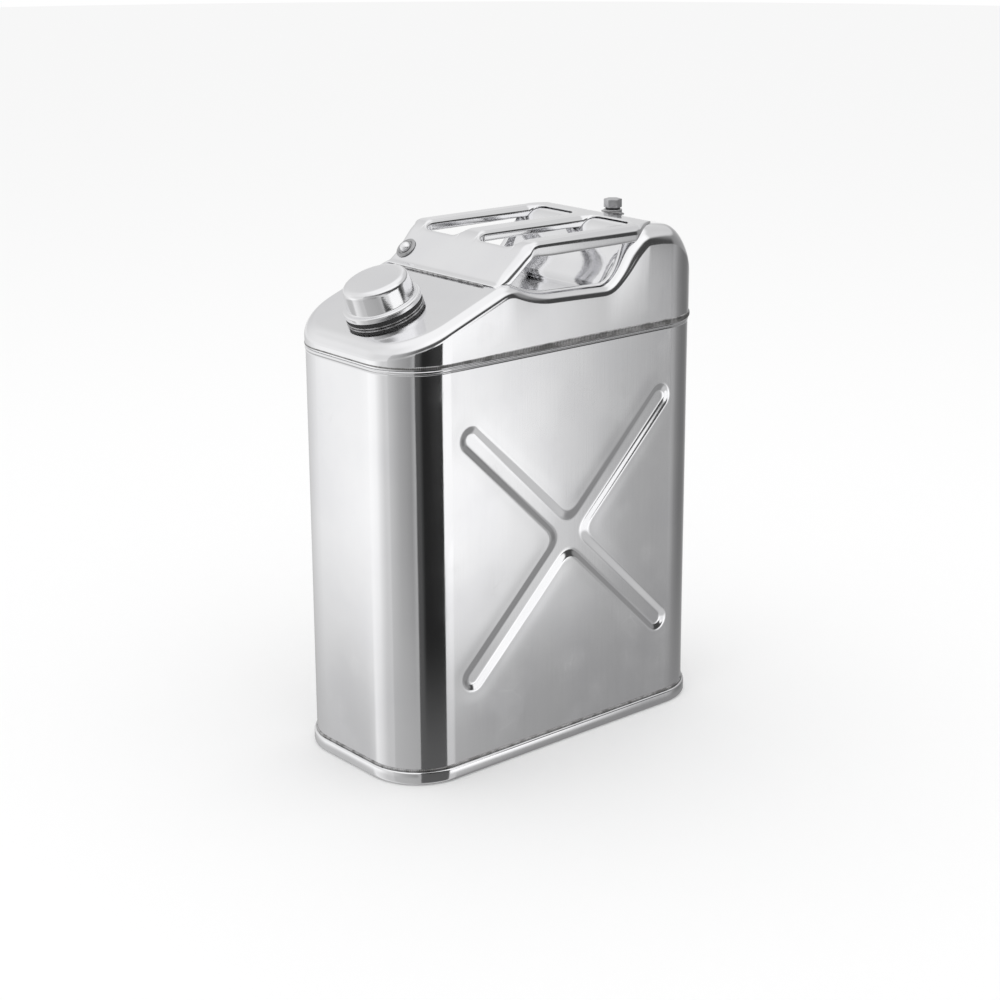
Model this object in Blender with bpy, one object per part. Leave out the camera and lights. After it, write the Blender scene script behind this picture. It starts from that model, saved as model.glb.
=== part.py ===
# Stainless steel water can: pressed body with a cross on each broad side, lapped top,
# three-bar carrying handle, screw cap on a sloping shoulder and a vent screw.
# Metres, +Z up. The can stands on z = 0, its filler end towards -X.

import math

import bmesh
import bpy
from mathutils import Vector

# Gaps and cuts that every piece shares
fit_gap = 0.0003
merge_reach = 0.00002

# Body plan and sheet
body_length = 0.345
body_width = 0.165
corner_radius = 0.048
body_sheet = 0.001

# Heights on the body
seam_height = 0.3593
lap_depth = 0.0045
joggle_inset = 0.0006
joggle_rise = 0.001
joggle_below_seam = 0.0043

# Cross pressed into each broad side
cross_centre_share = 0.0116
cross_side_margin = 0.0017
cross_head_below_seam = 0.0653
cross_foot_height = 0.086
groove_half_width = 0.0118
groove_depth = 0.0048
groove_slope_width = 0.0052
groove_corner_radius = 0.010
panel_margin = 0.013

# Foot rim, base pan and base weld
rim_height = 0.0118
rim_proud = 0.0026
rim_foot_inset = 0.0036
rim_ledge = 0.0015
rim_edge_radius = 0.0016
pan_rise = 0.010
pan_sheet = 0.001
pan_edge_radius = 0.002
weld_radius = 0.0009

# Top shell: places from the can's middle as shares of its length, rises above the seam
top_sheet = 0.001
shoulder_front_rise = 0.0152
ridge_share = -0.1739
ridge_rise = 0.0585
ridge_blend = 0.010
trough_front_share = -0.0870
trough_front_rise = 0.0467
trough_front_blend = 0.016
trough_rear_share = 0.1652
trough_rear_rise = 0.0432
trough_rear_blend = 0.013
deck_front_share = 0.2435
deck_rise = 0.0867
deck_front_blend = 0.013
deck_rear_share = 0.3536
deck_rear_blend = 0.020
deck_tail_drop = 0.014
side_fillet = 0.010
ramp_fillet = 0.016
rear_fillet = 0.042
trough_depth = 0.008
trough_lip_width = 0.0012
trough_bank_width = 0.010

# Handle plate, with its places along the can as shares of the can's length
handle_sheet = 0.0015
handle_foot_length = 0.0045
handle_foot_lead = 0.0055
handle_bend_share = -0.0986
handle_bend_radius = 0.005
handle_foot_half_width = 0.0735
handle_half_width = 0.079
handle_tail_half_width = 0.0715
handle_tail_share = 0.3275
handle_tail_clearance = 0.0006
middle_bar_half_width = 0.0112
outer_bar_inner_edge = 0.0605
slot_front_share = -0.0841
slot_rear_share = 0.2783
slot_end_radius = 0.007
slot_flange = 0.006
bar_crown = 0.003
bar_edge_drop = 0.005
outer_edge_drop = 0.006
side_flange = 0.0138
apron_flange = 0.006
foot_weld_half_length = 0.060

# How far the bars are formed along the slots, and how their crowns run across
slot_start_share = 0.1
slot_rise_share = 0.75
slot_fall_share = 0.35
middle_bar_crown_shares = (1, 0.75, -0.3)
outer_bar_place_shares = (0.10, 0.28, 0.52, 0.76, 0.92)
outer_bar_crown_shares = (-0.3, 0.7, 1, 0.6, -0.5)

# Keeper stud on the apron
keeper_across = 0.0615
keeper_up_apron = 0.0135
keeper_shank_radius = 0.003
keeper_head_radius = 0.0052
keeper_head_height = 0.0046
keeper_washer_radius = 0.0098
keeper_washer_height = 0.0018

# Filler neck, its thread and its weld
filler_setback = 0.0462
neck_radius = 0.023
neck_wall = 0.002
neck_height = 0.0242
neck_depth = 0.009
neck_flange_radius = 0.0312
neck_flange_sheet = 0.0018
thread_pitch = 0.006
thread_height = 0.0016
thread_root_width = 0.0024
thread_crest_width = 0.0011
thread_start = 0.0100
thread_turns = 1.6
thread_end_share = 0.15

# Cap and its seal
cap_height = 0.030
cap_sheet = 0.0012
cap_top_radius = 0.0278
cap_wall_foot_radius = 0.0295
cap_edge_radius = 0.0042
cap_crown = 0.0007
brim_radius = 0.0334
brim_top = 0.011
brim_foot = 0.0067
brim_edge_radius = 0.0014
seal_inner_radius = 0.0253
seal_foot = 0.0024
seal_step = 0.0063
seal_top = 0.0081
seal_outer_radius = 0.0328
washer_top = 0.0094
insert_wall_clearance = 0.0008
insert_top = 0.0250
insert_thread_turns = 1.3

# Vent on the rear deck
vent_share = 0.3768
vent_hole_radius = 0.0047
vent_boss_radius = 0.0083
vent_boss_rise = 0.0046
vent_boss_depth = 0.006
vent_washer_thickness = 0.001
vent_washer_radius = 0.0066
vent_head_rise = 0.0078
vent_head_flats = 0.0142
vent_head_chamfer = 0.001
vent_head_turn = math.radians(18)
vent_shank_radius = 0.0042

# How finely round shapes are divided
corner_steps = 6
fillet_steps = 4
bead_sides = 6
round_steps = 40
small_round_steps = 24
thread_steps = 24
groove_end_steps = 6
inner_ring_shares = (0.07, 0.27, 0.60, 1.0)

ridge_along = ridge_share * body_length
trough_front_along = trough_front_share * body_length
trough_rear_along = trough_rear_share * body_length
deck_front_along = deck_front_share * body_length
deck_rear_along = deck_rear_share * body_length
handle_bend_along = handle_bend_share * body_length
slot_front_along = slot_front_share * body_length
slot_rear_along = slot_rear_share * body_length
handle_tail_along = handle_tail_share * body_length
vent_along = vent_share * body_length
cross_centre_along = cross_centre_share * body_length

core_half_length = body_length / 2 - corner_radius
core_half_width = body_width / 2 - corner_radius
top_proud = top_sheet - joggle_inset + fit_gap
cross_half_length = core_half_length - cross_centre_along - groove_half_width - cross_side_margin
cross_half_height = (seam_height - cross_head_below_seam - cross_foot_height) / 2
cross_centre_height = cross_foot_height + cross_half_height


def clear_scene():
    for item in list(bpy.data.objects):
        bpy.data.objects.remove(item, do_unlink=True)


def make_material(name, colour, roughness, metallic):
    material = bpy.data.materials.new(name)
    material.use_nodes = True
    shader = material.node_tree.nodes["Principled BSDF"]
    shader.inputs["Base Color"].default_value = (*colour, 1)
    shader.inputs["Roughness"].default_value = roughness
    shader.inputs["Metallic"].default_value = metallic
    material.diffuse_color = (*colour, 1)
    return material


def finish_object(mesh_builder, name, material, parent=None, smooth_angle=35):
    """Turns a bmesh into a named object with its material and soft shading."""
    bmesh.ops.remove_doubles(mesh_builder, verts=mesh_builder.verts, dist=merge_reach)
    mesh = bpy.data.meshes.new(name)
    mesh_builder.to_mesh(mesh)
    mesh_builder.free()
    mesh.shade_smooth()
    mesh.set_sharp_from_angle(angle=math.radians(smooth_angle))
    piece = bpy.data.objects.new(name, mesh)
    piece.data.materials.append(material)
    piece.parent = parent
    bpy.context.scene.collection.objects.link(piece)
    return piece


def make_empty(name, place, tilt):
    """An axis: its local +Z leans towards -X by the tilt."""
    empty = bpy.data.objects.new(name, None)
    empty.location = place
    empty.rotation_euler = (0, -tilt, 0)
    bpy.context.scene.collection.objects.link(empty)
    return empty


def thicken(piece, sheet):
    solidify = piece.modifiers.new("Sheet", "SOLIDIFY")
    solidify.thickness = sheet
    solidify.offset = -1
    solidify.use_even_offset = True
    solidify.use_rim = True


def hide_tool(tool):
    tool.hide_render = True
    tool.display_type = "WIRE"


def combine(piece, tool, operation):
    boolean = piece.modifiers.new(tool.name, "BOOLEAN")
    boolean.operation = operation
    boolean.solver = "EXACT"
    boolean.object = tool
    hide_tool(tool)


def spread(start, end, count):
    """Evenly spaced places from start up to, but not at, end."""
    return [start + (end - start) * step / count for step in range(count)]


def smooth_step(edge_low, edge_high, value):
    share = min(max((value - edge_low) / (edge_high - edge_low), 0), 1)
    return share * share * (3 - 2 * share)


# Plan outline: stations go round the core rectangle, counterclockwise from above

def plan_stations(long_stops=(), short_stops=()):
    """Each station is a point on the core rectangle and the outward direction there."""
    stations = []
    for turn, (side_x, side_y) in enumerate(((1, 1), (-1, 1), (-1, -1), (1, -1))):
        core = Vector((side_x * core_half_length, side_y * core_half_width))
        for step in range(corner_steps + 1):
            angle = math.radians(90) * (turn + step / corner_steps)
            stations.append((core, Vector((math.cos(angle), math.sin(angle)))))
        stops = long_stops if turn % 2 == 0 else short_stops
        for stop in (reversed(stops) if turn < 2 else stops):
            if turn % 2 == 0:
                stations.append((Vector((stop, core.y)), Vector((0, side_y))))
            else:
                stations.append((Vector((core.x, stop)), Vector((side_x, 0))))
    return stations


def plan_point(station, inset):
    core, outward = station
    return core + outward * (corner_radius - inset)


def add_ring(builder, stations, inset, height):
    ring = []
    for station in stations:
        point = plan_point(station, inset)
        ring.append(builder.verts.new((point.x, point.y, height)))
    return ring


def bridge(builder, lower, upper, closed=True):
    """Quads between two rings; they face outward when the rings climb counterclockwise."""
    count = len(lower)
    for index in range(count if closed else count - 1):
        after = (index + 1) % count
        builder.faces.new((lower[index], lower[after], upper[after], upper[index]))


def sweep_round_plan(name, profile, material):
    """Sweeps a closed profile of (inset, height) points round the plan outline."""
    builder = bmesh.new()
    stations = plan_stations()
    rings = [add_ring(builder, stations, inset, height) for inset, height in profile]
    for lower, upper in zip(rings, rings[1:] + rings[:1]):
        bridge(builder, lower, upper)
    bmesh.ops.recalc_face_normals(builder, faces=builder.faces)
    return finish_object(builder, name, material)


def bead_profile(inset, height):
    """A round weld bead that lies against a wall."""
    points = []
    for side in range(bead_sides):
        angle = math.tau * (side + 1 / 2) / bead_sides
        points.append((inset + weld_radius * math.cos(angle), height + weld_radius * math.sin(angle)))
    return points


# Top surface of the shell

def profile_points():
    """Corners of the long profile: place, height above the floor, half length of the blend."""
    return (
        (-body_length / 2, seam_height + shoulder_front_rise, 0),
        (ridge_along, seam_height + ridge_rise, ridge_blend),
        (trough_front_along, seam_height + trough_front_rise, trough_front_blend),
        (trough_rear_along, seam_height + trough_rear_rise, trough_rear_blend),
        (deck_front_along, seam_height + deck_rise, deck_front_blend),
        (deck_rear_along, seam_height + deck_rise, deck_rear_blend),
        (body_length / 2, seam_height + deck_rise - deck_tail_drop, 0),
    )


def profile_height(along):
    """Height of the long profile: straight runs joined by parabolic blends."""
    points = profile_points()
    slopes = [(b[1] - a[1]) / (b[0] - a[0]) for a, b in zip(points, points[1:])]
    run = 0
    while run < len(slopes) - 1 and along > points[run + 1][0]:
        run += 1
    height = points[run][1] + slopes[run] * (along - points[run][0])
    for corner in (run, run + 1):
        place, _, blend = points[corner]
        if blend and abs(along - place) < blend:
            change = slopes[corner] - slopes[corner - 1]
            height += change * (blend - abs(along - place)) ** 2 / (4 * blend)
    return height


def profile_slope(along):
    reach = side_fillet * 4 / 5
    rise = profile_height(along + reach) - profile_height(along - reach)
    return math.atan(rise / (2 * reach))


def trough_share(along):
    """1 inside the finger trough, 0 outside it, along the can."""
    front = smooth_step(trough_front_along - trough_front_blend, trough_front_along, along)
    rear = smooth_step(deck_front_along, trough_rear_along, along)
    return front * rear


def surface_height(along, across):
    """Top surface inside the edge fillet, with the trough dished between its lips."""
    from_side = body_width / 2 + top_proud - abs(across)
    lip = side_fillet + trough_lip_width
    bank = smooth_step(lip, lip + trough_bank_width, from_side)
    return profile_height(along) - trough_depth * trough_share(along) * bank


def fillet_radius(station):
    """Edge radius: narrow at the front and sides, wider by the ramp and round the rear."""
    core, outward = station
    ramp = smooth_step(trough_rear_along, deck_front_along, core.x)
    radius = side_fillet + (ramp_fillet - side_fillet) * ramp
    if core.x > core_half_length - merge_reach:
        radius += (rear_fillet - ramp_fillet) * smooth_step(0, 1, abs(outward.x))
    return radius


def fillet_point(station, angle):
    """A point on the edge fillet: angle 0 is on the wall, 90 degrees is on the top."""
    core, outward = station
    radius = fillet_radius(station)
    plan = plan_point(station, radius * (1 - math.cos(angle)) - top_proud)
    depth = radius * (1 - math.sin(angle))
    slope = profile_slope(plan.x)
    lean = smooth_step(-core_half_length, ridge_along, core.x)
    lean *= smooth_step(core_half_length, deck_front_along, core.x)
    straight_down = depth / math.cos(slope)
    square_to_profile = depth * math.cos(slope)
    drop = straight_down + (square_to_profile - straight_down) * lean
    height = profile_height(plan.x) - drop
    shift = depth * math.sin(slope) * lean
    return (plan.x + shift, plan.y, height)


def shell_long_stops():
    stops = spread(-core_half_length, ridge_along - ridge_blend, 3)
    stops += spread(ridge_along - ridge_blend, trough_front_along + trough_front_blend, 6)
    stops += spread(trough_front_along + trough_front_blend, trough_rear_along - trough_rear_blend, 3)
    stops += spread(trough_rear_along - trough_rear_blend, deck_front_along + deck_front_blend, 7)
    stops += spread(deck_front_along + deck_front_blend, core_half_length, 3)
    return stops[1:]


def build_top_shell(steel, cap_axis, vent_axis):
    builder = bmesh.new()
    long_stops = shell_long_stops()
    short_stops = spread(-core_half_width, core_half_width, 4)[1:]
    stations = plan_stations(long_stops, short_stops)
    rings = [add_ring(builder, stations, -top_proud, seam_height)]
    for step in range(fillet_steps + 1):
        angle = math.radians(90) * step / fillet_steps
        rings.append([builder.verts.new(fillet_point(station, angle)) for station in stations])
    for share in inner_ring_shares:
        ring = []
        for station in stations:
            edge = fillet_radius(station) - top_proud
            point = plan_point(station, edge + (corner_radius - edge) * share)
            ring.append(builder.verts.new((point.x, point.y, surface_height(point.x, point.y))))
        rings.append(ring)
    for lower, upper in zip(rings, rings[1:]):
        bridge(builder, lower, upper)
    add_shell_middle(builder, long_stops, short_stops)
    bmesh.ops.remove_doubles(builder, verts=builder.verts, dist=merge_reach)
    shell = finish_object(builder, "top_shell", steel)
    thicken(shell, top_sheet)
    combine(shell, hole_tool("neck_hole_tool", neck_radius + fit_gap, cap_axis), "DIFFERENCE")
    combine(shell, hole_tool("vent_hole_tool", vent_boss_radius + fit_gap, vent_axis), "DIFFERENCE")
    return shell


def add_shell_middle(builder, long_stops, short_stops):
    columns = [-core_half_length, *long_stops, core_half_length]
    rows = [-core_half_width, *short_stops, core_half_width]
    grid = [[builder.verts.new((x, y, surface_height(x, y))) for x in columns] for y in rows]
    for lower, upper in zip(grid, grid[1:]):
        bridge(builder, lower, upper, closed=False)


def hole_tool(name, radius, axis):
    depth = neck_depth + neck_height
    return turned(name, ((0, -depth), (radius, -depth), (radius, depth), (0, depth)), None, axis)


# Body wall with its pressed crosses

def cross_outline(inset):
    """Outline of the cross, counterclockwise: round arm ends and hollow inner corners."""
    half_width = groove_half_width - inset
    corner = groove_corner_radius + inset
    arm_angle = math.atan2(cross_half_height, cross_half_length)
    arms = (arm_angle, math.pi - arm_angle, math.pi + arm_angle, math.tau - arm_angle)
    reach = math.hypot(cross_half_length, cross_half_height)
    points = []
    for index, angle in enumerate(arms):
        end = Vector((math.cos(angle), math.sin(angle))) * reach
        for step in range(groove_end_steps + 1):
            turn = angle + math.radians(180) * (step / groove_end_steps - 1 / 2)
            points.append(end + Vector((math.cos(turn), math.sin(turn))) * half_width)
        after = arms[(index + 1) % 4] + (math.tau if index == 3 else 0)
        middle = (angle + after) / 2
        half_gap = (after - angle) / 2
        centre_reach = (half_width + corner) / math.sin(half_gap)
        centre = Vector((math.cos(middle), math.sin(middle))) * centre_reach
        opening = math.radians(90) - half_gap
        for step in range(groove_end_steps // 2 + 1):
            turn = middle + math.pi + opening * (1 - 4 * step / groove_end_steps)
            points.append(centre + Vector((math.cos(turn), math.sin(turn))) * corner)
    return points


def add_panel(builder, side, corners):
    """Fills one broad side: flat round the cross, sloping walls, then a flat groove floor."""
    loops = []
    for share in (0, 1 / 6, 5 / 6, 1):
        outline = cross_outline(groove_slope_width * share)
        depth = groove_depth * smooth_step(0, 1, share)
        loop = []
        for point in outline:
            place = (cross_centre_along + point.x, side * (body_width / 2 - depth),
                     cross_centre_height + point.y)
            loop.append(builder.verts.new(place))
        loops.append(loop if side < 0 else loop[::-1])
    for outer, inner in zip(loops, loops[1:]):
        bridge(builder, outer, inner)
    around = ring_edges(builder, corners) + ring_edges(builder, loops[0])
    floor = ring_edges(builder, loops[-1])
    for edges in (around, floor):
        bmesh.ops.triangle_fill(builder, use_beauty=True, edges=edges)


def ring_edges(builder, ring):
    edges = []
    for start, end in zip(ring, ring[1:] + ring[:1]):
        edges.append(builder.edges.get((start, end)) or builder.edges.new((start, end)))
    return edges


def face_outward(builder):
    """Makes the sheet's faces agree, then points them away from the can's axis."""
    bmesh.ops.recalc_face_normals(builder, faces=builder.faces)
    away = sum(face.normal.y * face.calc_center_median().y for face in builder.faces)
    if away < 0:
        bmesh.ops.reverse_faces(builder, faces=builder.faces)


def wall_levels():
    """Levels of the wall from its foot to the edge that the top shell laps."""
    joggle = seam_height - joggle_below_seam
    return (
        (0, rim_ledge + fit_gap),
        (0, panel_margin),
        (0, joggle - joggle_rise),
        (0, joggle),
        (joggle_inset, joggle + joggle_rise),
        (joggle_inset, seam_height + lap_depth),
    )


def build_body_wall(steel):
    builder = bmesh.new()
    stations = plan_stations()
    rings = [add_ring(builder, stations, inset, height) for inset, height in wall_levels()]
    panel_row = 1
    for row, (lower, upper) in enumerate(zip(rings, rings[1:])):
        if row != panel_row:
            bridge(builder, lower, upper)
            continue
        count = len(stations)
        for index in range(count):
            after = (index + 1) % count
            side = stations[index][1].y
            on_broad_side = abs(side) > 1 - merge_reach and stations[index][0] != stations[after][0]
            corners = [lower[index], lower[after], upper[after], upper[index]]
            if on_broad_side:
                add_panel(builder, 1 if side > 0 else -1, corners)
            else:
                builder.faces.new(corners)
    face_outward(builder)
    wall = finish_object(builder, "body_wall", steel, smooth_angle=30)
    thicken(wall, body_sheet)
    return wall


def build_base_pan(steel):
    """A shallow pan inside the wall, its flange down on the rim's ledge."""
    outer = body_sheet + fit_gap
    inner = outer + pan_sheet
    foot = rim_ledge + fit_gap
    underside = pan_rise - pan_sheet
    profile = (
        (inner + pan_edge_radius, underside),
        (inner, underside - pan_edge_radius),
        (inner, foot),
        (outer, foot),
        (outer, pan_rise - pan_edge_radius),
        (outer + pan_edge_radius, pan_rise),
    )
    builder = bmesh.new()
    stations = plan_stations()
    rings = [add_ring(builder, stations, inset, height) for inset, height in profile]
    for lower, upper in zip(rings, rings[1:]):
        bridge(builder, lower, upper)
    builder.faces.new(rings[-1])
    builder.faces.new(rings[0][::-1])
    bmesh.ops.recalc_face_normals(builder, faces=builder.faces)
    return finish_object(builder, "base_pan", steel)


def build_bottom_rim(steel):
    edge = rim_edge_radius
    return sweep_round_plan("bottom_rim", (
        (-fit_gap, rim_height),
        (edge - rim_proud, rim_height),
        (-rim_proud, rim_height - edge),
        (-rim_proud, 2 * edge),
        (edge / 3 - rim_proud, edge / 2),
        (2 * edge - rim_proud, 0),
        (rim_foot_inset, 0),
        (rim_foot_inset, rim_ledge),
        (-fit_gap, rim_ledge),
    ), steel)


def build_welds(weld_steel):
    beside_wall = -(weld_radius + fit_gap)
    above_rim = rim_height + weld_radius + fit_gap
    below_skirt = seam_height - weld_radius - fit_gap
    sweep_round_plan("base_weld", bead_profile(beside_wall, above_rim), weld_steel)
    sweep_round_plan("seam_weld", bead_profile(beside_wall + joggle_inset, below_skirt), weld_steel)


# Handle plate: one sheet from the apron's foot over the trough to the rear deck

def deck_top():
    """Upper face of the handle plate where it lies over the deck."""
    return seam_height + deck_rise + handle_tail_clearance + handle_sheet


def foot_bend():
    along = ridge_along - handle_foot_lead
    return along, profile_height(along) + fit_gap + handle_sheet


def handle_base_height(along):
    """The plate's long profile without its crowned bars."""
    bend_along, bend_height = foot_bend()
    if along <= bend_along:
        return profile_height(along) + fit_gap + handle_sheet
    if along >= slot_rear_along:
        return profile_height(along) + handle_tail_clearance + handle_sheet
    rise = (deck_top() - bend_height) / (handle_bend_along - bend_along)
    over = along - handle_bend_along
    height = bend_height + rise * (along - bend_along) if over < 0 else deck_top()
    if abs(over) < handle_bend_radius:
        height -= rise * (handle_bend_radius - abs(over)) ** 2 / (4 * handle_bend_radius)
    return height


def handle_rows():
    """Places along the can, with how far the bars are formed there (0 flat, 1 full)."""
    bend_along, _ = foot_bend()
    end = slot_end_radius
    return (
        (bend_along - handle_foot_length, 0),
        (bend_along, 0),
        ((bend_along + handle_bend_along) / 2, 0),
        (handle_bend_along - handle_bend_radius, 0),
        (handle_bend_along, 0),
        (slot_front_along, slot_start_share),
        (slot_front_along + 2 * end, slot_rise_share),
        (slot_front_along + 4 * end, 1),
        ((slot_front_along + slot_rear_along) / 2, 1),
        (slot_rear_along - 4 * end, 1),
        (slot_rear_along - 2 * end, slot_fall_share),
        (slot_rear_along, 0),
        (handle_tail_along, 0),
    )


def handle_columns():
    """Places across one half of the plate: distance, height share of a formed bar."""
    bar = middle_bar_half_width
    edge = outer_bar_inner_edge
    end = slot_end_radius
    outer = handle_half_width - edge
    columns = list(zip((0, bar / 2, bar * 5 / 6), middle_bar_crown_shares))
    columns.append((bar, -bar_edge_drop / bar_crown))
    for across in (bar + end / 4, bar + end, (bar + edge) / 2, edge - end, edge - end / 4):
        columns.append((across, None))
    columns.append((edge, -bar_edge_drop / bar_crown))
    for place_share, crown_share in zip(outer_bar_place_shares, outer_bar_crown_shares):
        columns.append((edge + outer * place_share, crown_share))
    columns.append((handle_half_width, -outer_edge_drop / bar_crown))
    return columns


def slot_rows():
    """The rows at the slots' front and rear ends."""
    places = [along for along, _ in handle_rows()]
    return places.index(slot_front_along), places.index(slot_rear_along)


def slot_end_shift(across):
    """How far a slot's rounded end falls short of its full length at this place across."""
    from_edge = min(across - middle_bar_half_width, outer_bar_inner_edge - across)
    share = min(max(from_edge / slot_end_radius, 0), 1)
    return slot_end_radius * (1 - math.sqrt(share * (2 - share)))


def handle_half_width_at(along):
    bend_along, _ = foot_bend()
    widening = smooth_step(bend_along - handle_foot_length, handle_bend_along, along)
    width = handle_foot_half_width + (handle_half_width - handle_foot_half_width) * widening
    narrowing = smooth_step(slot_rear_along - 4 * slot_end_radius, slot_rear_along, along)
    return width + (handle_tail_half_width - width) * narrowing


def handle_point(row, column, side):
    along, formed = handle_rows()[row]
    across, share = handle_columns()[column]
    if share is None:
        share = 0
        formed = 0
    first_row, last_row = slot_rows()
    if row in (first_row, last_row) and middle_bar_half_width <= across <= outer_bar_inner_edge:
        shift = slot_end_shift(across)
        along += shift if row == first_row else -shift
    if across > outer_bar_inner_edge:
        room = handle_half_width - outer_bar_inner_edge
        width = handle_half_width_at(along) - outer_bar_inner_edge
        across = outer_bar_inner_edge + (across - outer_bar_inner_edge) * width / room
    height = handle_base_height(along) + bar_crown * share * formed
    if column == len(handle_columns()) - 1:
        height -= edge_roll(along) * (1 - formed)
    return Vector((along, side * across, height))


def edge_roll(along):
    """Drop of the plate's outermost column where the bars are flat."""
    bend_along, _ = foot_bend()
    rising = smooth_step(bend_along, bend_along + 3 * handle_foot_length, along)
    falling = smooth_step(slot_rear_along, slot_rear_along - 2 * slot_end_radius, along)
    return apron_flange / 3 * rising * falling


def flange_point(top, side):
    """Lower edge of the plate's side flange, or its flat lip over the deck and the foot."""
    along = top.x
    bend_along, _ = foot_bend()
    depth = apron_flange * smooth_step(bend_along, handle_bend_along, along)
    depth += (side_flange - apron_flange) * smooth_step(handle_bend_along, slot_front_along, along)
    depth *= smooth_step(slot_rear_along - 2 * slot_end_radius, slot_rear_along - 6 * slot_end_radius, along)
    lip = handle_sheet * (1 - min(depth / apron_flange, 1))
    return Vector((along, top.y + side * lip, top.z - depth))


def build_handle_plate(steel, keeper_axis):
    builder = bmesh.new()
    rows = range(len(handle_rows()))
    columns = range(len(handle_columns()))
    order = [(column, -1) for column in reversed(columns)] + [(column, 1) for column in columns[1:]]
    grid = []
    for row in rows:
        line = [builder.verts.new(handle_point(row, column, side)) for column, side in order]
        first = flange_point(line[0].co, -1)
        last = flange_point(line[-1].co, 1)
        grid.append([builder.verts.new(first), *line, builder.verts.new(last)])
    first_row, last_row = slot_rows()
    slot_reach = (middle_bar_half_width - merge_reach, outer_bar_inner_edge + merge_reach)
    for row in rows[:-1]:
        for place in range(len(grid[row]) - 1):
            ends = [abs(vertex.co.y) for vertex in grid[row][place:place + 2]]
            over_slot = slot_reach[0] < min(ends) and max(ends) < slot_reach[1]
            if first_row <= row < last_row and over_slot:
                continue
            builder.faces.new((grid[row][place], grid[row + 1][place],
                               grid[row + 1][place + 1], grid[row][place + 1]))
    loose = [vertex for vertex in builder.verts if not vertex.link_faces]
    bmesh.ops.delete(builder, geom=loose, context="VERTS")
    turn_slot_edges_down(builder)
    plate = finish_object(builder, "handle_plate", steel, smooth_angle=40)
    thicken(plate, handle_sheet)
    tool = turned("keeper_hole_tool", ((0, -side_flange), (keeper_shank_radius + fit_gap, -side_flange),
                                       (keeper_shank_radius + fit_gap, side_flange), (0, side_flange)),
                  None, keeper_axis, small_round_steps)
    combine(plate, tool, "DIFFERENCE")
    return plate


def slot_flange_at(along):
    """Depth of the fold round a finger slot, which fades out over the rear ramp."""
    rear = slot_rear_along - 2 * slot_end_radius
    return slot_flange * smooth_step(rear, rear - 3 * slot_end_radius, along)


def turn_slot_edges_down(builder):
    """Folds a short flange down round each finger slot, except at its rear end."""
    edges = []
    for edge in builder.edges:
        if not edge.is_boundary:
            continue
        middle = (edge.verts[0].co + edge.verts[1].co) / 2
        inside = middle_bar_half_width / 2 < abs(middle.y) < outer_bar_inner_edge + merge_reach
        if inside and slot_front_along - merge_reach < middle.x and slot_flange_at(middle.x) > fit_gap:
            edges.append(edge)
    turned_down = bmesh.ops.extrude_edge_only(builder, edges=edges)
    for item in turned_down["geom"]:
        if isinstance(item, bmesh.types.BMVert):
            item.co.z -= slot_flange_at(item.co.x)


def build_foot_weld(weld_steel):
    """A short bead along the front edge of the handle's foot."""
    bend_along, _ = foot_bend()
    slope = shoulder_slope()
    builder = bmesh.new()
    along = bend_along - handle_foot_length * math.cos(slope) - weld_radius - 2 * fit_gap
    height = profile_height(along) + (weld_radius + fit_gap) / math.cos(slope)
    loops = []
    for side in (-1, 1):
        loop = []
        for step in range(bead_sides):
            angle = math.tau * step / bead_sides
            place = (along + weld_radius * math.cos(angle), side * foot_weld_half_length,
                     height + weld_radius * math.sin(angle))
            loop.append(builder.verts.new(place))
        loops.append(loop)
    bridge(builder, loops[0], loops[1])
    builder.faces.new(loops[0])
    builder.faces.new(loops[1][::-1])
    bmesh.ops.recalc_face_normals(builder, faces=builder.faces)
    return finish_object(builder, "handle_foot_weld", weld_steel)


# Turned pieces

def turned(name, profile, material, axis, steps=round_steps, closed=False, smooth_angle=35):
    """Spins a profile of (radius, height) points round the axis."""
    builder = bmesh.new()
    points = [builder.verts.new((radius, 0, height)) for radius, height in profile]
    edges = [builder.edges.new(pair) for pair in zip(points, points[1:])]
    if closed:
        edges.append(builder.edges.new((points[-1], points[0])))
    bmesh.ops.spin(builder, geom=points + edges, axis=(0, 0, 1), cent=(0, 0, 0),
                   steps=steps, angle=math.tau, use_merge=True)
    bmesh.ops.remove_doubles(builder, verts=builder.verts, dist=merge_reach)
    bmesh.ops.recalc_face_normals(builder, faces=builder.faces)
    return finish_object(builder, name, material, axis, smooth_angle)


def thread_ridge(name, root_radius, crest_radius, start, turns, axis):
    """A helical ridge that fades at both ends; its root is sunk into the wall it stands on."""
    builder = bmesh.new()
    count = int(thread_steps * turns)
    fade = thread_steps / 8
    rings = []
    for step in range(count + 1):
        angle = math.tau * step / thread_steps
        height = start + thread_pitch * step / thread_steps
        fullness = min(step / fade, (count - step) / fade, 1)
        fullness = thread_end_share + (1 - thread_end_share) * fullness
        crest = root_radius + (crest_radius - root_radius) * fullness
        sunk = root_radius - (crest_radius - root_radius) / 2
        section = ((sunk, -thread_root_width / 2), (root_radius, -thread_root_width / 2),
                   (crest, -thread_crest_width / 2), (crest, thread_crest_width / 2),
                   (root_radius, thread_root_width / 2), (sunk, thread_root_width / 2))
        ring = []
        for radius, rise in section:
            place = (radius * math.cos(angle), radius * math.sin(angle), height + rise)
            ring.append(builder.verts.new(place))
        rings.append(ring)
    for lower, upper in zip(rings, rings[1:]):
        bridge(builder, lower, upper)
    builder.faces.new(rings[0])
    builder.faces.new(rings[-1][::-1])
    bmesh.ops.recalc_face_normals(builder, faces=builder.faces)
    return finish_object(builder, name, None, axis)


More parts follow.
